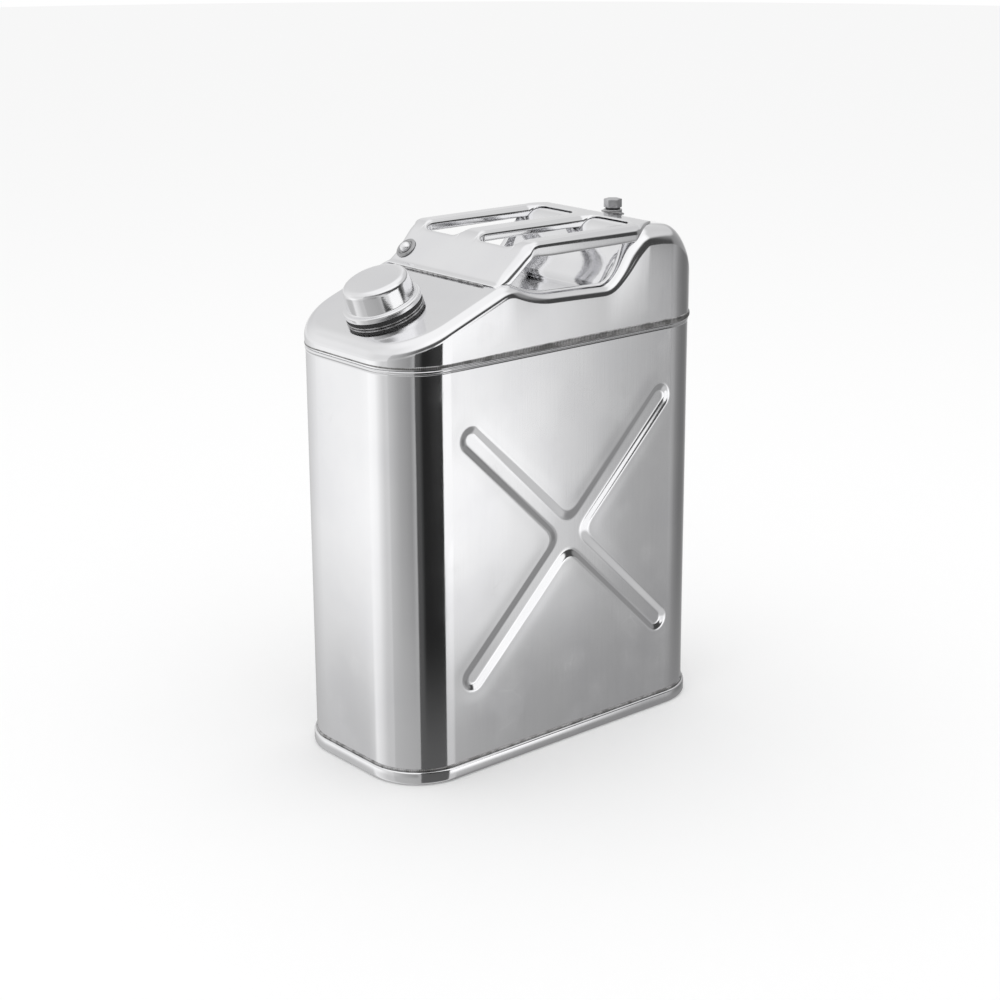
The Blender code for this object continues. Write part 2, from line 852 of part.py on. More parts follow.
def build_filler(steel, weld_steel, axis):
    inner = neck_radius - neck_wall
    flange_foot = fit_gap
    flange_top = fit_gap + neck_flange_sheet
    lip = neck_wall / 3
    neck = turned("filler_neck", (
        (inner, -neck_depth), (neck_radius, -neck_depth), (neck_radius, flange_foot),
        (neck_flange_radius, flange_foot), (neck_flange_radius, flange_top),
        (neck_radius, flange_top), (neck_radius, neck_height - lip),
        (neck_radius - lip, neck_height), (inner + lip, neck_height), (inner, neck_height - lip),
    ), steel, axis, closed=True)
    ridge = thread_ridge("neck_thread_tool", neck_radius, neck_radius + thread_height,
                         thread_start, thread_turns, axis)
    combine(neck, ridge, "UNION")
    bead = [(neck_flange_radius + fit_gap + weld_radius + inset, weld_radius + fit_gap + height)
            for inset, height in bead_profile(0, 0)]
    turned("neck_weld", bead, weld_steel, axis, closed=True)
    return neck


def cap_wall_radius(height):
    """Outside of the cap's wall, which draws in a little towards the top."""
    share = (height - brim_top) / (cap_height - brim_top)
    return cap_wall_foot_radius + (cap_top_radius - cap_wall_foot_radius) * share


def build_cap(steel, insert_metal, axis):
    sheet = cap_sheet
    edge = cap_edge_radius
    top = [(0, cap_height + cap_crown), (cap_top_radius * 2 / 3, cap_height + cap_crown / 2)]
    for step in range(fillet_steps + 1):
        angle = math.radians(90) * (1 - step / fillet_steps)
        top.append((cap_top_radius - edge + edge * math.cos(angle),
                    cap_height - edge + edge * math.sin(angle)))
    outside = top + [
        (cap_wall_foot_radius, brim_top), (brim_radius - brim_edge_radius, brim_top),
        (brim_radius, brim_top - brim_edge_radius), (brim_radius, brim_foot),
    ]
    inside = [
        (brim_radius - sheet, brim_foot), (brim_radius - sheet, brim_top - sheet),
        (cap_wall_foot_radius - sheet, brim_top - sheet),
        (cap_top_radius - sheet, cap_height - edge),
        (cap_top_radius - edge, cap_height - sheet), (0, cap_height - sheet),
    ]
    turned("cap_shell", outside + inside, steel, axis)
    foot = washer_top + fit_gap
    bore = neck_radius + thread_height + insert_wall_clearance
    foot_radius = cap_wall_foot_radius - sheet - 2 * fit_gap
    top_radius = cap_wall_radius(insert_top) - sheet - 2 * fit_gap
    insert = turned("cap_thread_insert", (
        (bore, foot), (foot_radius, foot), (foot_radius, brim_top - sheet),
        (top_radius, insert_top), (bore, insert_top),
    ), insert_metal, axis, closed=True)
    ridge = thread_ridge("insert_thread_tool", bore, bore - thread_height,
                         thread_start + thread_pitch / 2, insert_thread_turns, axis)
    combine(insert, ridge, "UNION")


def build_cap_seal(rubber, steel, axis):
    turned("cap_gasket", (
        (seal_inner_radius, seal_foot), (seal_outer_radius - fit_gap, seal_foot),
        (seal_outer_radius, (seal_foot + seal_step) / 2), (seal_outer_radius - fit_gap, seal_step),
        (brim_radius - cap_sheet - 2 * fit_gap, seal_step),
        (brim_radius - cap_sheet - 2 * fit_gap, seal_top), (seal_inner_radius, seal_top),
    ), rubber, axis, closed=True)
    inner = seal_inner_radius + fit_gap
    outer = brim_radius - cap_sheet - 3 * fit_gap
    foot = seal_top + fit_gap
    turned("pressure_washer", ((inner, foot), (outer, foot), (outer, washer_top), (inner, washer_top)),
           steel, axis, closed=True)


def build_keeper(steel, axis):
    """A domed stud in a cupped washer on the apron; its shank is upset behind the plate."""
    hole = keeper_shank_radius + fit_gap
    top = fit_gap + keeper_washer_height
    turned("keeper_washer", (
        (hole, fit_gap), (keeper_washer_radius, fit_gap),
        (keeper_washer_radius, fit_gap + keeper_washer_height / 3),
        (keeper_washer_radius * 5 / 6, top), (keeper_head_radius * 4 / 3, top),
        (keeper_head_radius * 7 / 6, fit_gap + keeper_washer_height / 2),
        (hole, fit_gap + keeper_washer_height / 2),
    ), steel, axis, small_round_steps, closed=True)
    head_foot = 2 * fit_gap + keeper_washer_height / 2
    dome = []
    for step in range(fillet_steps + 1):
        angle = math.radians(90) * (1 - step / fillet_steps)
        dome.append((keeper_head_radius * math.cos(angle),
                     head_foot + keeper_head_height * math.sin(angle)))
    behind = -(handle_sheet + fit_gap)
    tail = keeper_shank_radius * 4 / 3
    turned("keeper_stud", dome + [
        (keeper_shank_radius, head_foot), (keeper_shank_radius, behind), (tail, behind),
        (tail, behind - keeper_shank_radius / 2), (0, behind - keeper_shank_radius / 2),
    ], steel, axis, small_round_steps)


def build_vent(steel, weld_steel, rubber, fixed_axis, seal_axis, screw_axis):
    """Vent boss through the deck, a sealing washer and a hexagon-headed screw."""
    turned("vent_boss", (
        (vent_hole_radius, -vent_boss_depth), (vent_boss_radius, -vent_boss_depth),
        (vent_boss_radius, vent_boss_rise - fit_gap), (vent_boss_radius - fit_gap, vent_boss_rise),
        (vent_hole_radius, vent_boss_rise),
    ), steel, fixed_axis, small_round_steps, closed=True)
    lean = math.sin(profile_slope(vent_along))
    bead = turned("vent_weld", [(vent_boss_radius + fit_gap + weld_radius + inset, height)
                                for inset, height in bead_profile(0, 0)],
                  weld_steel, fixed_axis, small_round_steps, closed=True)
    for vertex in bead.data.vertices:
        vertex.co.z += weld_radius + 2 * fit_gap + lean * vertex.co.x
    washer_foot = vent_boss_rise + fit_gap
    washer_crown = washer_foot + vent_washer_thickness
    turned("vent_washer", (
        (vent_hole_radius, washer_foot), (vent_washer_radius, washer_foot),
        (vent_washer_radius, washer_crown), (vent_hole_radius, washer_crown),
    ), rubber, seal_axis, small_round_steps, closed=True)
    build_vent_screw(steel, washer_crown + fit_gap, screw_axis)


def build_vent_screw(steel, head_foot, axis):
    corner_reach = vent_head_flats / 2 / math.cos(math.radians(30))
    head_top = head_foot + vent_head_rise
    chamfer = vent_head_chamfer
    builder = bmesh.new()
    levels = ((corner_reach, head_foot), (corner_reach, head_top - chamfer),
              (corner_reach - 2 * chamfer, head_top))
    rings = []
    for radius, height in levels:
        ring = []
        for corner in range(6):
            angle = math.radians(60) * corner + vent_head_turn
            ring.append(builder.verts.new((radius * math.cos(angle), radius * math.sin(angle), height)))
        rings.append(ring)
    for lower, upper in zip(rings, rings[1:]):
        bridge(builder, lower, upper)
    builder.faces.new(rings[0][::-1])
    builder.faces.new(rings[-1])
    screw = finish_object(builder, "vent_screw", steel, axis, smooth_angle=20)
    shank_foot = -vent_boss_depth / 2
    shank = turned("vent_shank_tool", (
        (0, shank_foot), (vent_shank_radius - fit_gap, shank_foot),
        (vent_shank_radius, shank_foot + fit_gap), (vent_shank_radius, head_foot + chamfer),
        (0, head_foot + chamfer),
    ), None, axis, small_round_steps)
    combine(screw, shank, "UNION")


def shoulder_slope():
    points = profile_points()
    return math.atan((points[1][1] - points[0][1]) / (points[1][0] - points[0][0]))


def build_axes():
    """Empties on the axes of the filler, the vent and the keeper stud."""
    filler_along = filler_setback - body_length / 2
    filler_place = (filler_along, 0, profile_height(filler_along))
    vent_place = (vent_along, 0, profile_height(vent_along))
    bend_along, bend_height = foot_bend()
    apron = math.atan((deck_top() - bend_height) / (handle_bend_along - bend_along))
    keeper_place = (bend_along + keeper_up_apron * math.cos(apron), keeper_across,
                    bend_height + keeper_up_apron * math.sin(apron))
    slope = shoulder_slope()
    return {
        "filler": make_empty("filler_axis", filler_place, slope),
        "cap_seal": make_empty("cap_seal_axis", filler_place, slope),
        "cap": make_empty("cap_axis", filler_place, slope),
        "vent": make_empty("vent_axis", vent_place, 0),
        "vent_seal": make_empty("vent_seal_axis", vent_place, 0),
        "vent_screw": make_empty("vent_screw_axis", vent_place, 0),
        "keeper": make_empty("keeper_axis", keeper_place, apron),
    }


def build_all():
    clear_scene()
    steel = make_material("polished_steel", (0.78, 0.78, 0.79), 0.16, 1)
    weld_steel = make_material("weld_steel", (0.52, 0.51, 0.50), 0.35, 1)
    grey_steel = make_material("grey_steel", (0.42, 0.42, 0.43), 0.38, 1)
    rubber = make_material("black_rubber", (0.02, 0.02, 0.02), 0.6, 0)
    axes = build_axes()
    build_body_wall(steel)
    build_base_pan(steel)
    build_bottom_rim(steel)
    build_welds(weld_steel)
    build_top_shell(steel, axes["filler"], axes["vent"])
    build_handle_plate(steel, axes["keeper"])
    build_foot_weld(weld_steel)
    build_keeper(steel, axes["keeper"])
    build_filler(steel, weld_steel, axes["filler"])
    build_cap_seal(rubber, steel, axes["cap_seal"])
    build_cap(steel, grey_steel, axes["cap"])
    build_vent(grey_steel, weld_steel, rubber, axes["vent"], axes["vent_seal"], axes["vent_screw"])


build_all()
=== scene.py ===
import math

import bmesh
import bpy
from mathutils import Euler, Matrix, Vector, noise


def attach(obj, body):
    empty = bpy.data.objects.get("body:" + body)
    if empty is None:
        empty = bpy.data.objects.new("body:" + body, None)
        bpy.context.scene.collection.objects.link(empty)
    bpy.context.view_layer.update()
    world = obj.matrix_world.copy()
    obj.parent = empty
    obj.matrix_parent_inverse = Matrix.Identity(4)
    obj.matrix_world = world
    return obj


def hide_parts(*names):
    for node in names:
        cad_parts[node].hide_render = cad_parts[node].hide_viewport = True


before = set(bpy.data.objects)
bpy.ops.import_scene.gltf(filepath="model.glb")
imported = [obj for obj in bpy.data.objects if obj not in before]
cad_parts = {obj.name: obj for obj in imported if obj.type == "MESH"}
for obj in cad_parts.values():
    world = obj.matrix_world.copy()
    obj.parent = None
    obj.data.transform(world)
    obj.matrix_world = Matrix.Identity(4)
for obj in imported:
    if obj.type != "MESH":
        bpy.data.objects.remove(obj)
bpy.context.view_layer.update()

scene = bpy.context.scene
print("packed model loaded")


def addItem(name, data):
    item = bpy.data.objects.new(name, data)
    scene.collection.objects.link(item)
    return item


# Camera: the photograph's viewing angle, level sides kept nearly upright by a slight shift
view = {
    "place": (-1.1349, -1.3427, 0.7600),
    "azimuth": -41.27,
    "lookDown": 15.96,
    "focalPixels": 2078,
    "imagePixels": 1000,
    "centreX": 540,
    "centreY": 440,
}


def makeCamera(settings):
    data = bpy.data.cameras.new("photoCamera")
    data.sensor_width = 36
    data.lens = settings["focalPixels"] * data.sensor_width / settings["imagePixels"]
    half = settings["imagePixels"] / 2
    data.shift_x = (half - settings["centreX"]) / settings["imagePixels"]
    data.shift_y = (settings["centreY"] - half) / settings["imagePixels"]
    data.clip_end = 100
    camera = addItem("photoCamera", data)
    camera.location = settings["place"]
    around = math.radians(settings["azimuth"])
    down = math.radians(settings["lookDown"])
    level = math.cos(down)
    back = Vector((math.sin(around) * level, -math.cos(around) * level, math.sin(down)))
    camera.rotation_mode = "QUATERNION"
    camera.rotation_quaternion = (-back).to_track_quat("-Z", "Y")
    scene.camera = camera


makeCamera(view)
scene.view_settings.view_transform = "Standard"
print("camera placed")


# Shader helpers. A socket takes a link from another socket, or a plain value.
def feed(tree, sockets, values):
    for key, value in values.items():
        if isinstance(value, bpy.types.NodeSocket):
            tree.links.new(value, sockets[key])
        else:
            sockets[key].default_value = value


def addNode(tree, kind, values=None, **settings):
    node = tree.nodes.new(kind)
    for key, value in settings.items():
        setattr(node, key, value)
    feed(tree, node.inputs, values or {})
    return node


def mathNode(tree, operation, *values):
    values = dict(enumerate(values))
    return addNode(tree, "ShaderNodeMath", values, operation=operation).outputs[0]


def noiseNode(tree, vector, **values):
    return addNode(tree, "ShaderNodeTexNoise", {"Vector": vector, **values}).outputs


def mixColours(tree, share, first, second):
    values = {"Factor": share, 6: first, 7: second}
    return addNode(tree, "ShaderNodeMix", values, data_type="RGBA").outputs[2]


def mixShaders(tree, share, first, second):
    return addNode(tree, "ShaderNodeMixShader", {0: share, 1: first, 2: second}).outputs[0]


def mapRange(tree, value, low, high, toLow=0.0, toHigh=1.0):
    values = {"Value": value, "From Min": low, "From Max": high, "To Min": toLow, "To Max": toHigh}
    node = addNode(tree, "ShaderNodeMapRange", values, interpolation_type="SMOOTHSTEP")
    return node.outputs["Result"]


def bumpNode(tree, height, strength):
    values = {"Strength": strength, "Distance": 0.0002, "Height": height}
    return addNode(tree, "ShaderNodeBump", values).outputs[0]


def coordinates(tree, label):
    return addNode(tree, "ShaderNodeTexCoord").outputs[label]


def grey(tone):
    return (tone, tone, tone, 1)


# A group takes a vector and some floats, and puts out floats
def startGroup(name, floats, outputs):
    group = bpy.data.node_groups.new(name, "ShaderNodeTree")
    addSocket = group.interface.new_socket
    addSocket("Vector", in_out="INPUT", socket_type="NodeSocketVector")
    for label, value in floats.items():
        addSocket(label, in_out="INPUT", socket_type="NodeSocketFloat").default_value = value
    for label in outputs:
        addSocket(label, in_out="OUTPUT", socket_type="NodeSocketFloat")
    given = addNode(group, "NodeGroupInput").outputs
    return group, given, addNode(group, "NodeGroupOutput").inputs


def useGroup(tree, group, vector, **values):
    values = {"Vector": vector, **values}
    return addNode(tree, "ShaderNodeGroup", values, node_tree=group).outputs


def startMaterial(name):
    material = bpy.data.materials.new(name)
    material.use_nodes = True
    return material, material.node_tree


def setShader(tree, values):
    feed(tree, tree.nodes["Principled BSDF"].inputs, values)


# Soft studio: white for the camera, while the steel mirrors rings of soft light, one above the
# other. In a ring each pair is a direction round the can in degrees and the brightness there; each
# fade gives the heights between which the next ring takes over.
studio = {
    "cameraWhite": 1.0,
    "fillStrength": 1.0,
    "wallBand": (
        (-180, 0.62), (-158, 0.42), (-146, 0.36), (-135, 0.30), (-120, 0.60), (-100, 0.80),
        (-80, 0.95), (-62, 1.24), (-55, 1.27), (-52, 1.10), (-50, 0.95), (-48, 0.76), (-46, 0.45),
        (-44.5, 0.35), (-42, 0.42), (-39, 0.42), (-30, 0.29), (-20, 0.22), (-8, 0.18), (10, 0.19),
        (26, 0.34), (38, 0.75), (58, 0.95), (68, 0.62), (100, 0.78), (118, 0.90), (126, 1.02),
        (134, 1.12), (150, 1.06), (160, 0.86), (170, 0.70),
    ),
    "floorTones": (
        (-180, 0.50), (-120, 0.42), (-75, 0.62), (-56, 0.60), (-52, 0.44), (-48, 0.30), (-40, 0.27),
        (20, 0.29), (90, 0.52), (120, 0.55), (127, 0.57), (135, 0.92), (150, 0.78), (165, 0.60),
    ),
    "gapBand": (
        (-180, 0.60), (-150, 0.45), (-130, 0.60), (-108, 0.70), (-92, 0.22), (-75, 0.14),
        (-62, 0.07), (-44, 0.06), (-38, 0.26), (-10, 0.32), (15, 0.38), (35, 0.75), (50, 1.02),
        (66, 0.85), (100, 0.86), (125, 0.95), (150, 0.85),
    ),
    "horizonBand": (
        (-180, 0.55), (-150, 0.34), (-125, 0.12), (-60, 0.06), (-44, 0.06), (-37, 0.26),
        (-10, 0.34), (15, 0.42), (35, 0.60), (52, 0.80), (75, 0.70), (100, 0.84), (125, 0.92),
        (150, 0.80),
    ),
    "upperBand": (
        (-180, 0.92), (-140, 1.06), (-120, 1.12), (-66, 1.14), (-52, 1.00), (-40, 0.74),
        (-5, 0.68), (32, 0.72), (48, 0.92), (68, 0.74), (88, 0.80), (104, 0.86), (122, 0.84),
        (150, 0.90),
    ),
    "topTone": 1.05,
    "fades": {
        "floorTones": (-0.30, -0.42), "gapBand": (-0.150, -0.105), "horizonBand": (0.02, 0.08),
        "upperBand": (0.34, 0.50),
    },
    "topFade": (0.70, 0.92),
}


def toneRing(tree, turn, pairs):
    node = addNode(tree, "ShaderNodeValToRGB", {"Fac": turn})
    elements = node.color_ramp.elements
    while len(elements) < len(pairs):
        elements.new(1)
    for element, (degrees, tone) in zip(elements, pairs):
        element.position = degrees / 360 + 0.5
        element.color = grey(tone)
    return node.outputs["Color"]


def makeWorld(settings):
    world = bpy.data.worlds.new("softStudio")
    world.use_nodes = True
    world.cycles.sampling_method = "NONE"
    scene.world = world
    tree = world.node_tree
    tree.nodes.clear()
    split = addNode(tree, "ShaderNodeSeparateXYZ", {0: coordinates(tree, "Generated")}).outputs
    around = mathNode(tree, "ARCTAN2", split["Y"], split["X"])
    turn = mathNode(tree, "MULTIPLY_ADD", around, 1 / math.tau, 0.5)
    mirrored = toneRing(tree, turn, settings["wallBand"])
    for band, fade in settings["fades"].items():
        share = mapRange(tree, split["Z"], *fade)
        mirrored = mixColours(tree, share, mirrored, toneRing(tree, turn, settings[band]))
    share = mapRange(tree, split["Z"], *settings["topFade"])
    mirrored = mixColours(tree, share, mirrored, grey(settings["topTone"]))
    glossy, plain, backdrop = (
        addNode(tree, "ShaderNodeBackground", {"Color": colour, "Strength": strength}).outputs[0]
        for colour, strength in ((mirrored, 1.0), (grey(1), settings["fillStrength"]),
                                 (grey(settings["cameraWhite"]), 1.0)))
    path = addNode(tree, "ShaderNodeLightPath").outputs
    light = mixShaders(tree, path["Is Glossy Ray"], plain, glossy)
    light = mixShaders(tree, path["Is Camera Ray"], light, backdrop)
    addNode(tree, "ShaderNodeOutputWorld", {0: light})


makeWorld(studio)

# Two upright cards that only the steel sees: a dark one for the near corner's stripe, and a bright
# one for the lower sides of the pressed grooves. high gives the left and the right top corner,
# tones the main, side and foot tone, and edges the share of the card that fades out at its borders.
cards = {
    "darkCard": {
        "left": (-0.2034, -0.1416), "right": (-0.1030, -0.1620), "low": -0.08,
        "high": (0.37, 0.37), "tones": (0.020, 0.085, 0.11), "edges": None,
    },
    "lightPanel": {
        "left": (-0.18, -0.58), "right": (0.29, -0.58), "low": 0.0,
        "high": (0.37, 0.50), "tones": (1.12, 1.12, 1.12), "edges": (0.12, 0.06),
    },
}
cardFades = {"side": (0.30, 0.12), "foot": (0.42, 0.10)}


def meshItem(name, builder, material):
    mesh = bpy.data.meshes.new(name)
    builder.to_mesh(mesh)
    builder.free()
    mesh.materials.append(material)
    return addItem(name, mesh)


def makeCardLight(name, card):
    material, tree = startMaterial(name)
    tree.nodes.clear()
    spot = addNode(tree, "ShaderNodeSeparateXYZ", {0: coordinates(tree, "UV")}).outputs
    main, side, foot = (grey(tone) for tone in card["tones"])
    tone = mixColours(tree, mapRange(tree, spot["X"], *cardFades["side"]), main, side)
    tone = mixColours(tree, mapRange(tree, spot["Y"], *cardFades["foot"]), tone, foot)
    seen = addNode(tree, "ShaderNodeEmission", {"Color": tone}).outputs[0]
    if card["edges"]:
        share = 1.0
        for axis, width in zip("XY", card["edges"]):
            for edge, inner in ((0.0, width), (1.0, 1.0 - width)):
                fade = mapRange(tree, spot[axis], edge, inner)
                share = mathNode(tree, "MULTIPLY", share, fade)
        clear = addNode(tree, "ShaderNodeBsdfTransparent").outputs[0]
        seen = mixShaders(tree, share, clear, seen)
    addNode(tree, "ShaderNodeOutputMaterial", {"Surface": seen})
    return material


def makeCard(name, card):
    builder = bmesh.new()
    sides = ("left", "right", "right", "left")
    heights = (card["low"], card["low"], *reversed(card["high"]))
    face = builder.faces.new([builder.verts.new((*card[side], height))
                              for side, height in zip(sides, heights)])
    layer = builder.loops.layers.uv.new("card")
    for loop, spot in zip(face.loops, ((0, 0), (1, 0), (1, 1), (0, 1))):
        loop[layer].uv = spot
    item = meshItem(name, builder, makeCardLight(name, card))
    for sight in ("visible_camera", "visible_diffuse", "visible_shadow", "visible_transmission"):
        setattr(item, sight, False)


for cardName, cardSettings in cards.items():
    makeCard(cardName, cardSettings)

overhead = {"place": (-0.3, -0.2, 2.2), "aim": (0, 0, 0.15), "size": 2.4, "power": 7}


def makeOverhead(box):
    data = bpy.data.lights.new("overhead", "AREA")
    data.shape = "SQUARE"
    data.size = box["size"]
    data.energy = box["power"]
    light = addItem("overhead", data)
    light.location = box["place"]
    aim = Vector(box["aim"]) - light.location
    light.rotation_euler = aim.to_track_quat("-Z", "Y").to_euler()
    light.visible_glossy = False


makeOverhead(overhead)
print("studio lit")


# Finishes that several materials share: brushed lines with a slow cloud of tone
def makeGrainGroup():
    group, given, result = startGroup(
        "sheetGrain", {"Across": 900.0, "Along": 14.0}, ("Grain", "Cloud"))
    stretch = addNode(group, "ShaderNodeCombineXYZ", {
        "X": given["Across"], "Y": given["Across"], "Z": given["Along"]}).outputs[0]
    scaled = addNode(group, "ShaderNodeVectorMath", {0: given["Vector"], 1: stretch},
                     operation="MULTIPLY").outputs[0]
    lines = noiseNode(group, scaled, Scale=1.0, Detail=4.0, Roughness=0.65)["Fac"]
    cloud = noiseNode(group, given["Vector"], Scale=16.0, Detail=3.0)["Fac"]
    feed(group, result, {"Grain": mapRange(group, lines, 0.3, 0.7),
                         "Cloud": mapRange(group, cloud, 0.35, 0.68)})
    return group


# Sparse fine scratches, and smudges of handling
def makeMarksGroup():
    group, given, result = startGroup(
        "handlingMarks", {"Scratches": 46.0, "Smudges": 22.0}, ("Scratch", "Smudge"))
    warp = noiseNode(group, given["Vector"], Scale=9.0)["Color"]
    bent = addNode(group, "ShaderNodeVectorMath", {
        0: warp, 1: (0.05, 0.05, 0.02), 2: given["Vector"]}, operation="MULTIPLY_ADD").outputs[0]
    cells = addNode(group, "ShaderNodeTexVoronoi", {"Scale": given["Scratches"], "Vector": bent},
                    feature="DISTANCE_TO_EDGE").outputs["Distance"]
    patches = noiseNode(group, given["Vector"], Scale=given["Smudges"], Detail=5.0)["Fac"]
    thin = mapRange(group, cells, 0.012, 0.0)
    few = mapRange(group, patches, 0.56, 0.72)
    feed(group, result, {"Scratch": mathNode(group, "MULTIPLY", thin, few),
                         "Smudge": mapRange(group, patches, 0.46, 0.74)})
    return group


# Bright wear on edges, and painted shade that darkens the creases
def makeWearAndShadeGroup():
    group, given, result = startGroup(
        "edgeWearAndCreaseShade", {"Start": 0.505, "Full": 0.56}, ("Wear", "CreaseShade"))
    edges = addNode(group, "ShaderNodeNewGeometry").outputs["Pointiness"]
    spots = noiseNode(group, given["Vector"], Scale=140.0)["Fac"]
    worn = mapRange(group, edges, given["Start"], given["Full"])
    broken = mapRange(group, spots, 0.35, 0.6, 0.35, 1.0)
    # The second output is painted shade, strongest where the surface folds inward
    feed(group, result, {"Wear": mathNode(group, "MULTIPLY", worn, broken),
                         "CreaseShade": mapRange(group, edges, 0.495, 0.44)})
    return group


grainGroup = makeGrainGroup()
marksGroup = makeMarksGroup()
wearAndShadeGroup = makeWearAndShadeGroup()


def makeMetal(name, look):
    material, tree = startMaterial(name)
    spot = coordinates(tree, "Object")
    grain = useGroup(tree, grainGroup, spot, Across=look["grainAcross"], Along=look["grainAlong"])
    marks = useGroup(tree, marksGroup, spot, Scratches=look["scratches"], Smudges=look["smudges"])
    wearAndShade = useGroup(tree, wearAndShadeGroup, spot)
    tone = mixColours(tree, grain["Cloud"], (*look["colour"], 1), (*look["cloudColour"], 1))
    # Creases take the painted shade colour; edges take the lighter worn colour
    for mask, depth, colour in (("CreaseShade", "creaseShadeDepth", "creaseShadeColour"),
                                ("Wear", "wornShare", "wornColour")):
        share = mathNode(tree, "MULTIPLY", wearAndShade[mask], look[depth])
        tone = mixColours(tree, share, tone, (*look[colour], 1))
    rough = look["roughness"]
    for mark, share in ((grain["Grain"], "grainRough"), (marks["Smudge"], "smudgeRough"),
                        (marks["Scratch"], "scratchRough")):
        rough = mathNode(tree, "MULTIPLY_ADD", mark, look[share], rough)
    height = mathNode(tree, "MULTIPLY_ADD", marks["Scratch"], -look["scratchDepth"], grain["Grain"])
    setShader(tree, {"Base Color": tone, "Roughness": rough, "Metallic": 1.0,
                     "Normal": bumpNode(tree, height, look["bump"])})
    return material


# In each look the crease colour and depth paint shade into the piece's creases; the worn colour
# lightens its edges
sheetLook = {
    "colour": (0.86, 0.86, 0.87), "cloudColour": (0.83, 0.83, 0.845),
    "wornColour": (0.93, 0.93, 0.94), "wornShare": 0.5,
    "creaseShadeColour": (0.40, 0.40, 0.41), "creaseShadeDepth": 0.5,
    "roughness": 0.085, "grainRough": 0.02, "smudgeRough": 0.05, "scratchRough": 0.12,
    "grainAcross": 900.0, "grainAlong": 14.0, "scratches": 46.0, "smudges": 22.0,
    "scratchDepth": 0.8, "bump": 0.012,
}
weldLook = {
    **sheetLook, "colour": (0.19, 0.186, 0.182), "cloudColour": (0.085, 0.083, 0.08),
    "creaseShadeColour": (0.06, 0.06, 0.06), "creaseShadeDepth": 0.9, "roughness": 0.30,
    "grainRough": 0.12, "grainAcross": 400.0, "grainAlong": 400.0, "bump": 0.3,
}
fittingLook = {
    **sheetLook, "colour": (0.50, 0.50, 0.51), "cloudColour": (0.43, 0.43, 0.44),
    "wornColour": (0.66, 0.66, 0.67), "roughness": 0.28, "grainRough": 0.08,
    "grainAcross": 500.0, "grainAlong": 500.0, "bump": 0.12,
}
turnedLook = {
    **sheetLook, "grainRough": 0.05, "grainAcross": 60.0, "grainAlong": 1100.0, "bump": 0.05,
}
# The stud's dome: steel painted lighter than the sheet, for a painted highlight; its higher
# roughness gives its satin finish
litDomeLook = {
    **turnedLook, "colour": (0.90, 0.90, 0.91), "cloudColour": (0.88, 0.88, 0.89),
    "roughness": 0.26,
}
# The washer cup: the same polished steel painted darker, for the shade in the ring round the stud's
# ball, and darkest in its creases
shadedCupLook = {
    **turnedLook, "colour": (0.46, 0.46, 0.465), "cloudColour": (0.36, 0.36, 0.365),
    "creaseShadeColour": (0.10, 0.10, 0.10), "creaseShadeDepth": 1.0, "roughness": 0.16,
}
sheetSteel = makeMetal("polishedSheetSteel", sheetLook)
turnedSteel = makeMetal("polishedTurnedSteel", turnedLook)
weldSteel = makeMetal("weldSteel", weldLook)
fittingSteel = makeMetal("greyFittingSteel", fittingLook)
litDomeSteel = makeMetal("satinDomeSteelPaintedHighlight", litDomeLook)
shadedCupSteel = makeMetal("cupSteelWithPaintedShade", shadedCupLook)

rubberLook = {
    "colour": (0.016, 0.016, 0.017, 1), "cloudColour": (0.028, 0.028, 0.029, 1),
    "wornColour": (0.06, 0.06, 0.06, 1), "wornShare": 0.25, "roughness": (0.48, 0.66),
    "grain": 700.0, "bump": 0.08,
}


def makeRubber(look):
    material, tree = startMaterial("sealRubber")
    spot = coordinates(tree, "Object")
    grain = useGroup(tree, grainGroup, spot, Across=look["grain"], Along=look["grain"])
    wearAndShade = useGroup(tree, wearAndShadeGroup, spot)
    tone = mixColours(tree, grain["Cloud"], look["colour"], look["cloudColour"])
    share = mathNode(tree, "MULTIPLY", wearAndShade["Wear"], look["wornShare"])
    setShader(tree, {"Base Color": mixColours(tree, share, tone, look["wornColour"]),
                     "Roughness": mapRange(tree, grain["Grain"], 0.0, 1.0, *look["roughness"]),
                     "Normal": bumpNode(tree, grain["Grain"], look["bump"])})
    return material


sealRubber = makeRubber(rubberLook)
print("materials made")


# Mesh helpers
quarter = math.radians(90)
mergeReach = 0.00002
hair = 0.00001
softBend, sharpBend = 50, 60  # edges bent by more degrees than this are drawn sharp


def smoothStep(low, high, value):
    share = min(max((value - low) / (high - low), 0), 1)
    return share * share * (3 - 2 * share)


def between(first, second, share):
    return first + (second - first) * share


# A smooth share, which runs from 0 to 1 between two reaches from a place
def fadeAt(where, reaches, value):
    return smoothStep(where + reaches[0], where + reaches[1], value)


def unit(angle):
    return Vector((math.cos(angle), math.sin(angle)))


# Even steps from start up to the last one before end
def spread(start, end, step):
    count = max(1, round(abs(end - start) / step))
    return [start + (end - start) * index / count for index in range(count)]


# Faces between neighbouring rings; a looped set also joins its last ring to its first
def skin(builder, rings, looped=False, openRings=False):
    for lower, upper in zip(rings, rings[1:] + rings[:1] if looped else rings[1:]):
        count = len(lower)
        for index in range(count - 1 if openRings else count):
            after = (index + 1) % count
            builder.faces.new((lower[index], lower[after], upper[after], upper[index]))


def shadeByAngle(piece, sharpAngle):
    piece.data.shade_smooth()
    piece.data.set_sharp_from_angle(angle=math.radians(sharpAngle))


def makePiece(name, builder, material, sharpAngle=35, openSheet=False):
    if not openSheet:
        bmesh.ops.recalc_face_normals(builder, faces=builder.faces)
    bmesh.ops.remove_doubles(builder, verts=builder.verts, dist=mergeReach)
    piece = meshItem(name, builder, material)
    shadeByAngle(piece, sharpAngle)
    return piece


